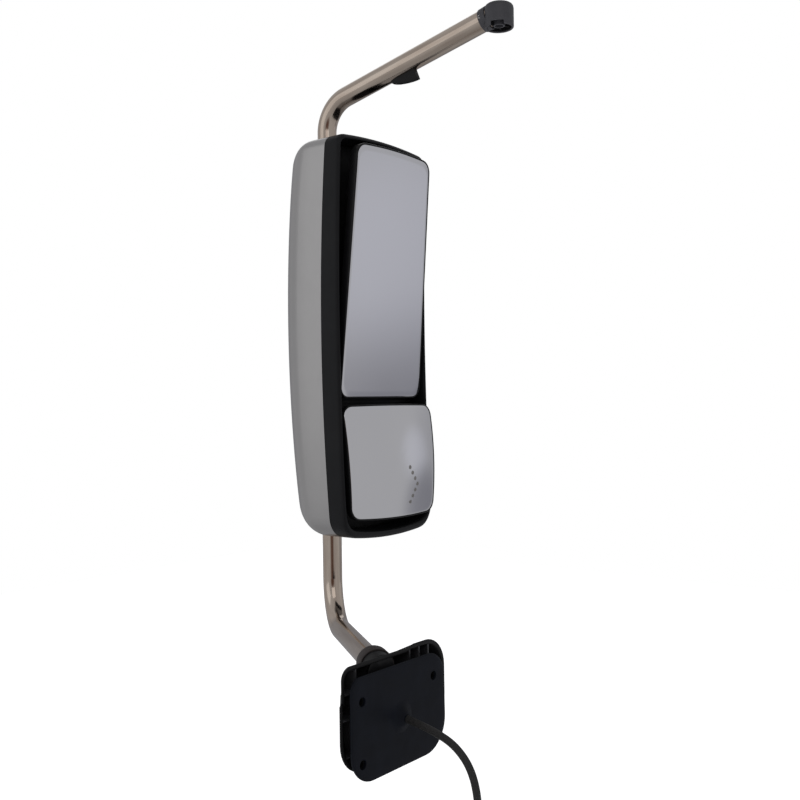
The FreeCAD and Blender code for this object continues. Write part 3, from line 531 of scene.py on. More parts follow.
def cover_skin():
    """The bright cover: straight flanks, round shoulders and a gently bowed front."""
    centre_x, centre_z = (SHELL_LOW.x + SHELL_HIGH.x) / 2, (SHELL_LOW.z + SHELL_HIGH.z) / 2
    half_x, half_z = (SHELL_HIGH.x - SHELL_LOW.x) / 2, (SHELL_HIGH.z - SHELL_LOW.z) / 2
    crown, side_r, top_r = 8.8, 47.0, 60.0
    gap, wall, bore_r = 0.7, 2.4, 18.2
    outer = head_outline(0.0, 0.0, 0.0)

    def front_y(x, z):
        return bowed(FRONT_LINE, z) - crown * ((x - centre_x) / half_x) ** 2

    def shoulder(x, z):
        """How much of the shoulder is the side's and how much the end's."""
        along_x, along_z = abs(x - centre_x) / half_x, abs(z - centre_z) / half_z
        power = 12
        weight = along_z ** power / (along_x ** power + along_z ** power)
        return side_r + (top_r - side_r) * weight

    rings = []
    for share in (0.0, 0.04, 0.3, 0.65, 1.0):
        ring = []
        for x, z in outer:
            rear = bowed(SEAM_LINE, z) + gap
            flank_end = front_y(x, z) - shoulder(x, z)
            ring.append((x, rear + (flank_end - rear) * share, z))
        rings.append(ring)
    turns = 14
    for k in range(1, turns + 1):
        angle = math.pi / 2 * k / turns
        ring = []
        for x, z in outer:
            r = shoulder(x, z)
            px = centre_x + (x - centre_x) * (1 - side_r * (1 - math.cos(angle)) / half_x)
            pz = centre_z + (z - centre_z) * (1 - top_r * (1 - math.cos(angle)) / half_z)
            ring.append((px, front_y(px, pz) - r * (1 - math.sin(angle)), pz))
        rings.append(ring)
    last = rings[-1]
    for share in (0.85, 0.68, 0.5, 0.32, 0.15, 0.03):
        ring = []
        for x, _, z in last:
            px, pz = centre_x + (x - centre_x) * share, centre_z + (z - centre_z) * share
            ring.append((px, front_y(px, pz), pz))
        rings.append(ring)
    build = Build().loft(rings, False, True)
    obj = make_piece("cover_skin", "head", MAT["shell"], build, ["cover_shell"], 50)
    solid = obj.modifiers.new("wall", "SOLIDIFY")
    solid.thickness, solid.offset = wall * MM, -1.0
    apply_modifiers(obj)
    below = Vector((HEAD_AXIS.x, HEAD_AXIS.y, 100.0))
    boolean(obj, Build().cylinder(below, UP, bore_r, 800.0))
    return obj


# ---------------------------------------------------------------- glasses
LENS_R = 650.0
GLASS_TRIM, GLASS_STEPS = 17.0, (18, 8)
JACK_LEVER = 36.0
# For each glass: its tilt at rest in degrees, the face's place before the pivot, the carrier's depth, the
# pane's thickness, the curvature, the corners as (x, z) about the pivot and how far each side bulges.
GLASSES = {
    "upper": {"tilt": 5.2, "face": 18.0, "depth": 16.0, "thick": 3.0, "curve": 0.0,
              "corners": [(-103.0, -204.0), (103.0, -204.0), (93.5, 200.25), (-93.5, 200.25)],
              "bulges": [0.5, 0.0, 4.5, 0.0]},
    "lower": {"tilt": -3.0, "face": 33.0, "depth": 24.0, "thick": 2.2, "curve": 1.0 / LENS_R,
              "corners": [(-96.0, -88.5), (96.0, -88.5), (103.0, 92.0), (-103.0, 92.0)],
              "bulges": [4.5, 1.5, 1.0, 1.5]},
}


def glass_matrix(name):
    """From the glass's own axes at its pivot to its place at rest."""
    joint = JOINTS[name + "_tilt"]
    pan = math.atan2(joint["axis"][1], joint["axis"][0])
    tilt = math.radians(GLASSES[name]["tilt"])
    place = Matrix.Translation(Vector(joint["pos_m"]) / MM)
    return place @ Matrix.Rotation(pan, 4, "Z") @ Matrix.Rotation(tilt, 4, "X")


def glass_y(name, x, z):
    """The depth of the glass's face before its pivot, on its curve."""
    glass = GLASSES[name]
    return glass["curve"] * (x * x + z * z) / 2.0 - glass["face"]


def glass_ring(name, grow, y, follow=1.0):
    """The glass's outline grown by a margin, at a depth behind the face, following its curve by a share."""
    glass = GLASSES[name]
    corners = grown(glass["corners"], grow)
    ring = outline(corners, glass["bulges"], [max(GLASS_TRIM + grow, 2.0)] * 4, *GLASS_STEPS)
    matrix = glass_matrix(name)
    flat = glass_y(name, 0.0, 0.0)
    return [matrix @ Vector((x, y + flat + follow * (glass_y(name, x, z) - flat), z)) for x, z in ring]


def scaled_ring(name, share, y):
    """The glass's outline scaled towards its middle, on its curve."""
    glass = GLASSES[name]
    ring = outline(glass["corners"], glass["bulges"], [GLASS_TRIM] * 4, *GLASS_STEPS)
    matrix = glass_matrix(name)
    return [matrix @ Vector((x, y + glass_y(name, x, z), z)) for x, z in (Vector(c) * share for c in ring)]


def glass_pane(name, material):
    """The pane: its rear, a soft-edged rim and a face of fine rings."""
    thick = GLASSES[name]["thick"]
    rings = [scaled_ring(name, s, thick) for s in (0.02, 0.5, 0.97)]
    rings += [glass_ring(name, -0.2, thick), glass_ring(name, 0.0, thick - 0.6), glass_ring(name, 0.0, 0.7),
              glass_ring(name, -0.5, 0.15), glass_ring(name, -1.2, 0.0)]
    rings += [scaled_ring(name, s, 0.0) for s in (0.95, 0.85, 0.72, 0.58, 0.44, 0.3, 0.16, 0.02)]
    build = Build().loft(rings)
    return make_piece(name + "_mirror_glass", name + "_mirror", material, build,
                      [name + "_glass"], 50)


def glass_frame(name):
    """The black carrier: a thin rolled rim round the glass, a skirt behind and a hollow back."""
    depth = GLASSES[name]["depth"]
    front_floor = 4.0
    rear_floor = front_floor + 2.8
    rear_follow = 1.0 if name == "upper" else 0.0
    profile = [(-20.0, front_floor, 1), (-0.5, front_floor, 1), (0.12, front_floor - 0.4, 1), (0.12, 0.2, 1),
               (0.5, -0.35, 1), (1.2, -0.5, 1), (1.9, -0.2, 1), (2.3, 0.6, 1), (2.35, 2.6, 1)]
    lip = [(1.5, depth - 1.2), (0.9, depth - 0.2), (0.1, depth), (-0.9, depth - 0.3), (-1.4, depth - 1.2)]
    profile += [(grow, y, rear_follow) for grow, y in lip]
    profile += [(-2.0, rear_floor + 1.0, 1), (-2.8, rear_floor, 1), (-20.0, rear_floor, 1)]
    build = Build().loft([glass_ring(name, g, y, f) for g, y, f in profile], False, False)
    add_ears(build, glass_matrix(name), GLASSES[name]["face"] - rear_floor)
    make_piece(name + "_glass_frame", name + "_mirror", MAT["frame"], build,
               [name + "_backing"])
    floor = Build().loft([scaled_ring(name, s, rear_floor) for s in (0.02, 0.4, 0.86)]
                         + [scaled_ring(name, s, front_floor) for s in (0.86, 0.4, 0.02)])
    make_piece(name + "_glass_floor", name + "_mirror", MAT["frame"], floor,
               [name + "_backing"])


def add_ears(build, matrix, reach):
    """Pivot ears for the level pin and two ball cups for the jacks, behind the floor."""
    root = -reach - 1.0
    ear_start, ear_end, ear_half, ear_tip = 9.0, 15.0, 5.3, 4.5
    cup_bore, cup_r, cup_length = 6.4, 8.5, reach + 3.6
    for side in (-1, 1):
        low, high = sorted((side * ear_start, side * ear_end))
        build.box((low, root, -ear_half), (high, ear_tip, ear_half), matrix)
    for x, z in ((0.0, -JACK_LEVER), (JACK_LEVER, 0.0)):
        build.lathe(matrix @ Vector((x, root, z)), (matrix.to_3x3() @ AWAY).normalized(),
                    [(cup_bore, cup_length), (cup_r, cup_length), (cup_r, 0.0)], 32)


def lamp_windows():
    """Seven small windows in the lower glass's arrow."""
    matrix = glass_matrix("lower")
    out = (matrix.to_3x3() @ -AWAY).normalized()
    tip_x, tip_z, step_x, step_z = 51.0, -41.0, 6.2, 9.6
    sunk = 1.0
    window = [(3.5, 0.0), (3.5, 1.02), (3.3, 1.12), (2.1, 1.22), (0.3, 1.26)]
    build = Build()
    for i in range(-3, 4):
        x, z = tip_x - abs(i) * step_x, tip_z + i * step_z
        origin = matrix @ Vector((x, glass_y("lower", x, z) + sunk, z))
        build.lathe(origin, out, window, 24, True, True)
    return make_piece("lamp_windows", "lower_mirror", MAT["lamp"], build,
                      ["signal_lamps"])


# ---------------------------------------------------------------- arm
LOWER_OUT = heading(LOWER_HEADING, LOWER_RISE)
UPPER_OUT = heading(UPPER_HEADING, UPPER_RISE)
ARM_UP = (UP - UPPER_OUT * UPPER_OUT.z).normalized()
AXIS_LOW = Vector((HEAD_AXIS.x, HEAD_AXIS.y, ARM_LOW_Z))
AXIS_TOP = Vector((HEAD_AXIS.x, HEAD_AXIS.y, ARM_TOP_Z))
NOTCH_HEADING = math.radians(204.0)
# The notch in the boss's skirt, along its spoke, across it and up.
NOTCH_LOW, NOTCH_HIGH = (11.0, -9.5, -2.0), (26.0, 9.5, 6.0)
BOSS_DROP, NECK_LENGTH = 23.0, 28.0
BOSS_BOTTOM = AXIS_TOP + UPPER_OUT * UPPER_REACH - UP * BOSS_DROP
TUBE_STEPS = 72


def lower_axis_at(y):
    return AXIS_LOW + LOWER_OUT * ((y - HEAD_AXIS.y) / LOWER_OUT.y)


def arm_pipe():
    """The bent tube with its bore, as one closed skin whose UV runs along the tube."""
    start_y, end_gap = 28.0, 14.0
    points = [lower_axis_at(start_y), AXIS_LOW, AXIS_TOP, AXIS_TOP + UPPER_OUT * (UPPER_REACH - end_gap)]
    path = bent_path(points, [0, LOWER_BEND_R, UPPER_BEND_R, 0], 2.5)
    outer, outer_uv = sweep(path, TUBE_R, TUBE_STEPS)
    inner, inner_uv = sweep(path, TUBE_R - TUBE_WALL, TUBE_STEPS)
    flipped = []
    for k in reversed(range(len(path))):
        flipped.extend(inner_uv[k * TUBE_STEPS:(k + 1) * TUBE_STEPS])
    build = Build().hoop(outer + list(reversed(inner)))
    return make_piece("arm_pipe", "root", MAT["tube"], build, ["arm_tube"],
                      40, outer_uv + flipped)


def boot():
    """The tapered boot between the base and the lower arm, with a lip at its mouth."""
    start_y, end_y = 34.0, 68.0
    start, length = lower_axis_at(start_y), (end_y - start_y) / LOWER_OUT.y
    profile = [(21.9, 0.4), (23.4, 0.2), (24.0, 0.9), (24.0, 12.0), (24.0, 23.6), (23.5, 26.6), (22.2, 30.5),
               (20.4, 35.0), (18.8, 39.0), (17.9, length - 1.6), (17.3, length - 0.4), (16.5, length),
               (15.95, length - 0.6), (15.95, length - 3.0), (21.9, 26.0)]
    build = Build().hoop(turned(start, LOWER_OUT, profile, TUBE_STEPS))
    return make_piece("base_boot", "root", MAT["rubber"], build, ["arm_boot"], 45)


def spoke_frame(angle):
    """From axes along a spoke of the boss, across it and up to the frame's own."""
    out = heading(angle)
    return Matrix.Translation(BOSS_BOTTOM) @ Matrix((out, UP.cross(out), UP)).transposed().to_4x4()


def boss():
    """The cast boss: domed upright barrel, notched skirt round a recess darkened with painted shade, neck
    round the tube's end.
    """
    barrel = [(0.5, 12.5), (17.9, 12.5), (18.0, 1.2), (18.5, 0.2), (19.4, 0.0), (20.5, 0.1), (21.3, 1.0),
              (21.5, 3.0), (21.5, 27.5), (21.1, 30.4), (19.9, 32.6), (18.0, 34.0), (15.0, 34.7),
              (11.0, 34.95), (0.5, 35.0)]
    shell = Build().lathe(BOSS_BOTTOM, UP, barrel, TUBE_STEPS, True, True)
    cast = make_piece("cast_boss", "root", MAT["casting"], shell, ["pivot_boss"], 35)
    notch = Build().box(NOTCH_LOW, NOTCH_HIGH, spoke_frame(NOTCH_HEADING))
    boolean(cast, notch)

    neck = AXIS_TOP + UPPER_OUT * (UPPER_REACH - NECK_LENGTH)
    neck_profile = [(15.9, 0.6), (16.3, 0.0), (16.9, 0.3), (17.3, 1.4), (17.6, 8.0), (17.8, 12.0),
                    (10.0, 13.5)]
    collar = Build().lathe(neck, UPPER_OUT, neck_profile, TUBE_STEPS)
    make_piece("boss_neck", "root", MAT["casting"], collar, ["pivot_boss"], 35)

    inside = Build()
    inside.lathe(BOSS_BOTTOM, UP, [(17.95, 1.4), (17.85, 12.4), (0.5, 12.4)], TUBE_STEPS, False, True)
    webs, web_half = 5, 1.0
    for k in range(webs):
        spoke = spoke_frame(NOTCH_HEADING + math.pi * (k + 1) / 3.0)
        inside.box((9.5, -web_half, 3.0), (18.0, web_half, 12.5), spoke)
    # The inside of the cast boss takes the black moulding look, darker than the casting: painted shade.
    recess = make_piece("boss_recess", "root", MAT["black"], inside, ["pivot_boss"], 35)
    boolean(recess, notch)


def hook():
    """The stop fin under the upper arm: it deepens towards a scooped far end with a small lip."""
    side = UPPER_OUT.cross(ARM_UP).normalized()
    near, length, half, top = 135.0, 55.0, 4.5, -12.0
    # Each station is a share of the length and the fin's lower edge there.
    stations = [(0.0, -15.6), (0.04, -18.6), (0.1, -21.4), (0.18, -23.8), (0.3, -26.6), (0.45, -29.2),
                (0.6, -31.4), (0.75, -33.0), (0.86, -33.9), (0.93, -34.2)]
    rings = []
    for share, low in stations:
        wide = half * (0.4 + 0.6 * min(1.0, share * 5.0) ** 0.6)
        ring = []
        for angle in circle_angles(24):
            c, d = math.cos(angle), math.sin(angle)
            out = math.copysign(abs(c) ** 0.5, c) * wide
            high = (top + low) / 2 + math.copysign(abs(d) ** 0.5, d) * (top - low) / 2
            depth = (top - high) / (top - low)
            scoop = -1.5 + 8.0 * max(0.0, depth - 0.5) if share > 0.9 else 0.0
            along = AXIS_TOP + UPPER_OUT * (near + share * length + scoop)
            ring.append(along + side * out * (1.0 - 0.3 * depth ** 2) + ARM_UP * high)
        rings.append(ring)
    build = Build().loft(rings)
    return make_piece("stop_fin", "root", MAT["black"], build, ["arm_hook"], 40)


# ---------------------------------------------------------------- base
def plate_ring(corners, trims, y, grow=0.0):
    """An outline of straight sides in the plane at y, grown by a margin."""
    count = len(corners)
    middle = [sum(axis) / count for axis in zip(*corners)]
    trims = [max(trim + grow, 1.0) for trim in trims]
    return [(x, y, z) for x, z in outline(grown(corners, grow, middle), [0.0] * count, trims, 10, 10)]


def gasket_pad():
    """The pad on the door: a soft-edged plate with the bolt holes and the cable's outlet."""
    low, high = PAD_LOW, PAD_HIGH
    narrower, outlet_r = 3.0, 21.1
    corners = [(low.x, low.z), (high.x, low.z), (high.x - narrower, high.z), (low.x, high.z)]
    trims = [42.0, 46.0, 36.0, 18.0]
    steps = [(-16.0, 0.0), (-3.2, 0.0), (-1.2, 0.25), (-0.3, 0.9), (0.0, 1.9), (-0.3, 3.3), (-1.4, 4.0),
             (-16.0, 4.0)]
    build = Build().loft([plate_ring(corners, trims, y, g) for g, y in steps])
    obj = make_piece("gasket_pad", "root", MAT["gasket"], build, ["door_gasket"])
    before, through = AWAY * -2.0, 9.0
    flare = [(1.8, 0.0), (1.2, 2.0), (0.9, 2.6), (0.9, through)]
    cutter = Build()
    for x, z in BOLTS:
        cutter.lathe(Vector((x, 0.0, z)) + before, AWAY, [(BOLT_HOLE_R + more, y) for more, y in flare],
                     40, True, True)
    cutter.cylinder(grommet_centre() + before, AWAY, outlet_r, through)
    boolean(obj, cutter)
    return obj


def grommet_centre():
    """The middle of the cable's outlet, on the door's face."""
    middle = (GROMMET_LOW + GROMMET_HIGH) / 2
    return Vector((middle.x, 0.0, middle.z))


# Corners of the housing as (x, z) with a trim for each, at its rim and at its much smaller back.
BASE_RIM = [(-105.5, -94.0), (120.0, -94.0), (119.0, 48.0), (47.0, 48.0), (42.0, 45.5), (-102.0, 45.5),
            (-102.0, 2.5), (-105.5, -2.0)]
BASE_BACK = [(-62.0, -87.0), (112.0, -87.0), (112.0, 30.0), (44.0, 30.0), (40.0, 28.5), (-60.0, 28.5),
             (-60.0, 1.5), (-62.0, -3.0)]
BASE_TRIMS = [44.0, 58.0, 43.0, 1.5, 1.5, 16.0, 1.1, 1.1]
BACK_TRIMS = [36.0, 50.0, 34.0, 1.5, 1.5, 14.0, 1.1, 1.1]
RIM_Y, BACK_Y = 12.0, 50.0
RIB_X = (-72.0, -39.0, -12.0, 41.0, 62.0, 83.0)
RIB_Z = (-70.0, -22.0, 10.0)
RIB_HALF = 1.2


def base_ring(share, grow, y):
    """The housing's outline part of the way from its rim to its back, grown by a margin."""
    rim = plate_ring(BASE_RIM, BASE_TRIMS, y, grow)
    back = plate_ring(BASE_BACK, BACK_TRIMS, y, grow)
    return [Vector(a).lerp(Vector(b), share) for a, b in zip(rim, back)]


def base_shell():
    """The housing: a tray with sloping walls and a flat rounded rim, open towards the door."""
    profile = [(1.0, -22.0, BACK_Y), (1.0, -3.0, BACK_Y), (1.0, -0.9, 49.3), (0.95, 0.0, 47.6),
               (0.1, 0.0, 15.4), (0.03, 0.0, 13.8), (0.0, -0.6, 12.5), (0.0, -1.7, RIM_Y), (0.0, -4.9, RIM_Y),
               (0.0, -6.0, 12.5), (0.02, -6.5, 13.6), (0.15, -5.6, 18.0), (0.9, -3.8, 45.0),
               (0.98, -5.4, 46.8), (1.0, -22.0, 47.0)]
    build = Build().loft([base_ring(share, grow, y) for share, grow, y in profile])
    return make_piece("base_tray", "root", MAT["black"], build, ["base_housing"])


def tray_room(grow, front_y):
    """The space inside the tray, drawn in by a margin, from in front of its rim to its floor."""
    inner_back_y = 48.4
    levels = ((0.0, front_y), (0.0, RIM_Y), (1.0, inner_back_y))
    return Build().loft([base_ring(share, grow, y) for share, y in levels])


def base_ribs():
    """Stiffening ribs inside the tray, clear of the cable's outlet and the arm's socket."""
    front_y, back_y, stagger = 14.0, 49.0, 0.2
    outlet_r, socket_r = 25.0, 20.6
    build = Build()
    for x in RIB_X:
        build.box((x - RIB_HALF, front_y, -110.0), (x + RIB_HALF, back_y, 70.0))
    for z in RIB_Z:
        build.box((-130.0, front_y + stagger, z - RIB_HALF), (140.0, back_y + stagger, z + RIB_HALF))
    # The ribs wear the lightened moulding look: painted highlight.
    obj = make_piece("base_ribs", "root", MAT["ribs"], build, ["base_housing"])
    boolean(obj, tray_room(-4.6, 4.0), "INTERSECT", True)
    boolean(obj, Build().cylinder(grommet_centre(), AWAY, outlet_r, 47.0, 48))
    boolean(obj, Build().cylinder(lower_axis_at(-30.0), LOWER_OUT, socket_r, 150.0))
    return obj


def base_bosses():
    """The bolt bosses that carry the gasket, kept inside the sloping walls."""
    profile = [(9.5, 47.5), (9.5, 7.0), (9.3, 4.8), (8.7, 4.05), (7.4, 4.05), (7.05, 4.6), (7.05, 30.0),
               (0.3, 30.0)]
    build = Build()
    for x, z in BOLTS:
        build.lathe(Vector((x, 0.0, z)), AWAY, profile, 48, True, True)
    obj = make_piece("base_bosses", "root", MAT["black"], build, ["base_housing"])
    boolean(obj, tray_room(-1.5, 2.0), "INTERSECT")
    return obj


def base_tower():
    """The tower round the arm's socket, with a closed front behind the gasket."""
    u, v = across(LOWER_OUT)
    origin = lower_axis_at(0.0)
    profile = [(0.5, 14.0), (20.4, 14.0), (21.3, 14.5), (21.6, 15.6), (21.6, 53.0), (18.6, 53.0),
               (18.6, 17.0), (0.5, 17.0)]
    rings = []
    for radius, y in profile:
        ring = []
        for angle in circle_angles(64):
            start = origin + (u * math.cos(angle) + v * math.sin(angle)) * radius
            ring.append(start + LOWER_OUT * ((y - start.y) / LOWER_OUT.y))
        rings.append(ring)
    build = Build().loft(rings)
    return make_piece("base_tower", "root", MAT["black"], build, ["base_housing"])


def flat_circle(centre, radius):
    """A circle about a point, in a plane that faces the door."""
    return [centre + Vector((math.cos(a), 0.0, math.sin(a))) * radius for a in circle_angles(48)]


def grommet():
    """A rubber blister that swells out of the gasket and ends in a snout on the cable."""
    exit_point = Vector(CABLE_ROUTE[0])
    base = grommet_centre()
    seat = [(23.5, 7.0), (23.5, 4.1), (21.0, 4.05), (21.0, 1.2), (24.6, 0.7), (22.8, 0.1)]
    dome = [(21.0, 0.0), (19.2, 0.05), (17.0, 0.13), (14.8, 0.24), (12.8, 0.38), (11.1, 0.53), (9.6, 0.68),
            (8.2, 0.83), (7.1, 0.95), (6.1, 1.0), (5.3, 0.97)]
    rings = [flat_circle(base + AWAY * y, radius) for radius, y in seat]
    rings += [flat_circle(base.lerp(exit_point, share), radius) for radius, share in dome]
    build = Build().loft(rings)
    return make_piece("cable_blister", "root", MAT["gasket"], build, ["cable_grommet"], 50)


# ---------------------------------------------------------------- cable
CABLE_R = 5.0
HANK_X = 38.0
CABLE_ROUTE = [
    (4.9, -8.5, -40.2),
    (4.9, -19, -42.1),
    (4.9, -34, -44.7),
    (5.2, -50, -48.5),
    (5.0, -66, -52.8),
    (4.7, -80, -58.2),
    (4.8, -91.5, -66),
    (5.2, -101.5, -76),
    (5.3, -109.5, -88.5),
    (5.0, -115.5, -104),
    (4.8, -119, -123),
    (5.2, -120, -146),
    (6.0, -120, -172),
]
# The spare length: down and round twice, drawn together at the tie.
HANK_ROUTE = [
    (9.0, -120, -198), (17, -120, -222), (24, -120, -250), (23.5, -120, -280), (13, -120, -304),
    (5, -120.5, -330), (13, -120.5, -355), (38, -120.5, -364), (63, -120.5, -355), (71, -120.3, -330),
    (63, -120, -304), (53, -120, -280), (51.5, -119.5, -250), (62, -119, -216), (71, -118, -190),
    (63, -116, -165), (38, -114, -156), (14, -112, -165), (6.5, -110, -190), (16, -109.5, -218),
    (33, -109, -248), (33.5, -109, -276), (20, -109, -306), (13, -109, -332), (22, -108.8, -352),
    (42, -108, -358), (60, -106, -350), (66, -102, -330), (63, -97, -304), (59, -93.6, -280), (58, -93, -259),
]


def cable():
    """The round cable along its route and through its hank, as one curve."""
    curve = bpy.data.curves.new("mirror_cable", "CURVE")
    curve.dimensions = "3D"
    route = CABLE_ROUTE + HANK_ROUTE
    spline = curve.splines.new("NURBS")
    spline.points.add(len(route) - 1)
    for point, place in zip(spline.points, route):
        point.co = (*(Vector(place) * MM), 1.0)
    spline.order_u = 3
    spline.use_endpoint_u = True
    spline.resolution_u = 12
    curve.bevel_depth = CABLE_R * MM
    curve.bevel_resolution = 8
    curve.use_fill_caps = True
    obj = link_object("mirror_cable", curve)
    curve.materials.append(MAT["braid"])
    settle(obj, "root", ["cable_lead", "cable_hank"])
    return obj


def level_block(middle, half, grow, trim, z, steps):
    """A level rounded rectangle about a point, grown by a margin."""
    corners = [(middle[0] + side_x * half[0], middle[1] + side_y * half[1])
               for side_x, side_y in ((-1, -1), (1, -1), (1, 1), (-1, 1))]
    ring = outline(grown(corners, grow, middle), [0.0] * 4, [trim] * 4, steps, steps)
    return [(x, y, z) for x, y in ring]


def tie_strap():
    """A nylon strap round the hank's waist, with its catch."""
    half_x, low_y, high_y, z, trim = 20.0, -125.6, -103.4, -264.0, 5.0
    catch_half, catch_deep, catch_high = 4.0, 4.0, 5.5
    middle = (HANK_X, (low_y + high_y) / 2)
    half_y = (high_y - low_y) / 2
    profile = [(0.0, -4.0), (0.9, -4.3), (1.4, -3.4), (1.4, 3.4), (0.9, 4.3), (0.0, 4.0)]
    build = Build().hoop([level_block(middle, (half_x, half_y), grow, trim + grow, z + up, 6)
                          for grow, up in profile])
    build.box((HANK_X - catch_half, low_y - catch_deep, z - catch_high),
              (HANK_X + catch_half, low_y - 0.2, z + catch_high))
    return make_piece("tie_strap", "root", MAT["nylon"], build, ["cable_tie"])


def plug():
    """The oblong connector: ribbed grip, open socket with pins, latch bar and strain relief."""
    low, high = (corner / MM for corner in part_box("cable_plug"))
    x, y = (low.x + high.x) / 2, low.y + 8.0
    length, half, trim, relief = 42.0, (12.0, 8.0), 3.0, 14.0
    grip_ribs, grip_start, grip_pitch = 5, 4.0, 2.6
    pins, pin_pitch, pin_half = 4, 4.0, 0.6
    base_z = high.z - length
    levels = [(-1.4, 0.0), (-0.4, 0.6), (-0.1, 2.0)]
    for k in range(grip_ribs):
        z = grip_start + grip_pitch * k
        levels += [(-0.1, z), (-0.8, z + 0.5), (-0.8, z + 1.1), (-0.1, z + 1.6)]
    levels += [(-0.1, 20.0), (-0.1, 41.0), (-0.6, length), (-2.6, length), (-3.0, 41.4), (-3.0, 23.0)]
    build = Build().loft([level_block((x, y), half, grow, max(trim + grow, 0.8), base_z + z, 5)
                          for grow, z in levels])
    for k in range(pins):
        pin_x = x + pin_pitch * (k - (pins - 1) / 2)
        build.box((pin_x - pin_half, y - pin_half, base_z + 22.5),
                  (pin_x + pin_half, y + pin_half, base_z + 36.0))
    build.box((x - 3.0, y + 7.6, base_z + 14.0), (x + 3.0, y + 10.0, base_z + 36.0))
    sleeve = [(5.2, 0.0), (6.2, 0.4), (6.5, 3.0), (6.1, 3.4), (6.1, 4.4), (6.9, 4.8), (7.0, 7.0), (6.6, 7.4),
              (6.6, 8.4), (7.4, 8.8), (7.8, 14.2)]
    build.lathe(Vector((x, y, base_z - relief)), UP, sleeve, 40, True, True)
    return make_piece("cable_connector", "root", MAT["nylon"], build, ["cable_plug"])


# ---------------------------------------------------------------- stage
FLOOR_GLOW, FLOOR_HALF, FLOOR_DROP = 0.62, 3.0, 0.03
# Each light as (name, place, power, size), all aimed at one point.
LIGHT_TARGET = Vector((0.2, 0.2, 0.45))
LIGHTS = [("key", (-2.2, -2.0, 2.6), 14.0, 2.6),
          ("fill", (-2.6, 1.6, 1.2), 7.0, 2.4),
          ("back", (2.2, 1.8, 2.2), 8.0, 2.2)]
# Each patch of the room as (direction, cosines where it starts and is full, factor for red, green and blue).
ROOM_COLOR = (0.55, 0.55, 0.56)
ROOM_PATCHES = [((-0.786, -0.618, 0.0), 0.90, 0.995, (0.28, 0.17, 0.13)),
                ((0.786, 0.618, 0.0), 0.55, 1.0, (0.48, 0.48, 0.50)),
                ((0.775, -0.631, 0.035), 0.990, 1.0, (1.24, 1.25, 1.30)),
                ((0.81, -0.56, -0.19), 0.978, 1.0, (0.56, 0.56, 0.60)),
                ((0.93, -0.36, 0.0), 0.93, 1.0, (0.80, 0.80, 0.82)),
                ((0.0, 0.0, -1.0), 0.30, 0.95, (0.75, 0.75, 0.75))]
# The mix node's colour inputs and its colour result, by number.
MIX_A, MIX_B, MIX_RESULT = 6, 7, 2
CAMERA_PLACE, CAMERA_AIM = Vector((-1.03575, -0.8213, 0.3809)), Vector((0.786, 0.618, 0.0))
CAMERA_ROLL = math.radians(-0.73)


def stage():
    """A pale floor, the room and the lights."""
    z = CAD_BOX[0][2] - FLOOR_DROP
    corners = [(-FLOOR_HALF, -FLOOR_HALF, z), (FLOOR_HALF, -FLOOR_HALF, z),
               (FLOOR_HALF, FLOOR_HALF, z), (-FLOOR_HALF, FLOOR_HALF, z)]
    mesh = bpy.data.meshes.new("floor")
    mesh.from_pydata(corners, [], [(0, 1, 2, 3)])
    floor = link_object("floor", mesh)
    material, _, shader = new_material("pale_floor", (0.88, 0.88, 0.88), 0.9, specular=0.1)
    shader.inputs["Emission Color"].default_value = (1.0, 1.0, 1.0, 1.0)
    shader.inputs["Emission Strength"].default_value = FLOOR_GLOW
    mesh.materials.append(material)
    floor.visible_glossy = False
    bpy.context.scene.view_settings.view_transform = "Standard"
    studio_world()
    for light in LIGHTS:
        add_light(*light)


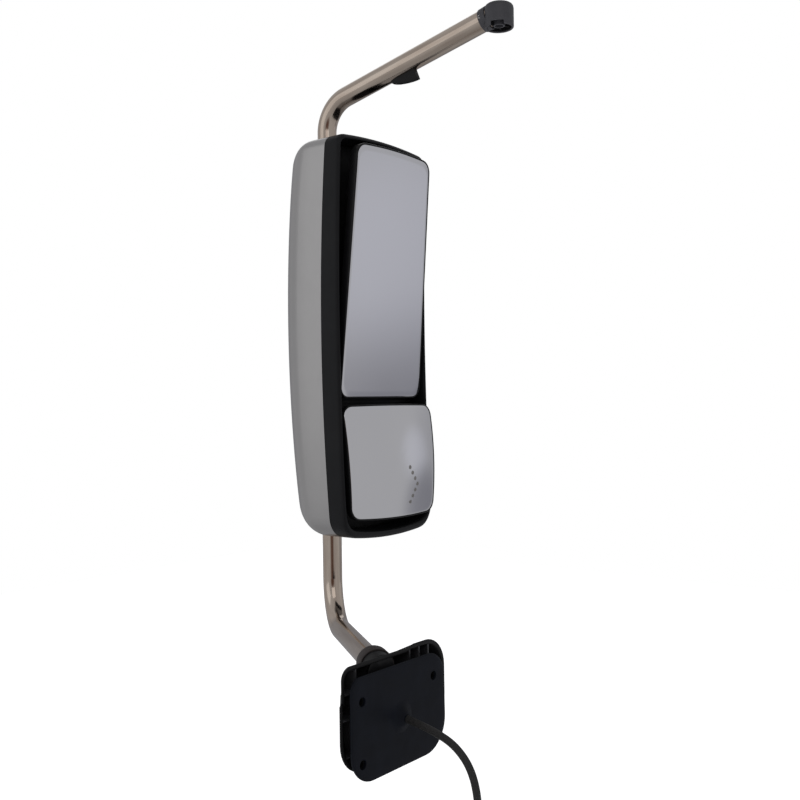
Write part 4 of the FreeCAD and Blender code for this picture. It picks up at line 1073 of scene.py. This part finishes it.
def studio_world():
    """A white room for the eye, and a softly shaded one for light and reflections."""
    world = bpy.data.worlds.new("studio")
    world.use_nodes = True
    bpy.context.scene.world = world
    tree = world.node_tree
    direction = tree.nodes.new("ShaderNodeTexCoord").outputs["Generated"]
    room = tree.nodes["Background"]
    previous = None
    for aim, start, full, factor in ROOM_PATCHES:
        dot = tree.nodes.new("ShaderNodeVectorMath")
        dot.operation = "DOT_PRODUCT"
        dot.inputs[1].default_value = Vector(aim).normalized()
        tree.links.new(direction, dot.inputs[0])
        share = tree.nodes.new("ShaderNodeMapRange")
        share.interpolation_type = "SMOOTHSTEP"
        share.inputs["From Min"].default_value = start
        share.inputs["From Max"].default_value = full
        tree.links.new(dot.outputs["Value"], share.inputs["Value"])
        patch = tree.nodes.new("ShaderNodeMix")
        patch.data_type, patch.blend_type = "RGBA", "MULTIPLY"
        tree.links.new(share.outputs["Result"], patch.inputs[0])
        patch.inputs[MIX_B].default_value = (*factor, 1.0)
        if previous is None:
            patch.inputs[MIX_A].default_value = (*ROOM_COLOR, 1.0)
        else:
            tree.links.new(previous, patch.inputs[MIX_A])
        previous = patch.outputs[MIX_RESULT]
    tree.links.new(previous, room.inputs["Color"])
    white = tree.nodes.new("ShaderNodeBackground")
    white.inputs["Color"].default_value = (1.0, 1.0, 1.0, 1.0)
    seen = tree.nodes.new("ShaderNodeLightPath")
    choose = tree.nodes.new("ShaderNodeMixShader")
    tree.links.new(seen.outputs["Is Camera Ray"], choose.inputs[0])
    tree.links.new(room.outputs[0], choose.inputs[1])
    tree.links.new(white.outputs[0], choose.inputs[2])
    tree.links.new(choose.outputs[0], tree.nodes["World Output"].inputs["Surface"])


def add_light(name, place, power, size):
    data = bpy.data.lights.new(name, "AREA")
    data.energy, data.size = power, size
    light = link_object(name, data)
    light.location = place
    light.rotation_euler = (LIGHT_TARGET - Vector(place)).to_track_quat("-Z", "Y").to_euler()


def camera():
    """Level with the mirror's lower half and square to neither of its sides."""
    data = bpy.data.cameras.new("camera")
    data.lens, data.sensor_width = 45.0, 36.0
    data.clip_start = 0.02
    obj = link_object("camera", data)
    turn = CAMERA_AIM.to_track_quat("-Z", "Y").to_matrix() @ Matrix.Rotation(CAMERA_ROLL, 3, "Z")
    obj.matrix_world = Matrix.Translation(CAMERA_PLACE) @ turn.to_4x4()
    bpy.context.scene.camera = obj


# ---------------------------------------------------------------- build
camera()
mirror_cable = cable()
strap = tie_strap()
connector = plug()
bezel_frame()
cover_skin()
glass_pane("upper", MAT["mirror"])
glass_pane("lower", MAT["convex"])
glass_frame("upper")
glass_frame("lower")
lamp_windows()
arm_pipe()
boot()
boss()
hook()
gasket_pad()
base_shell()
base_ribs()
base_bosses()
base_tower()
grommet()
dress_cad_nodes()
stage()
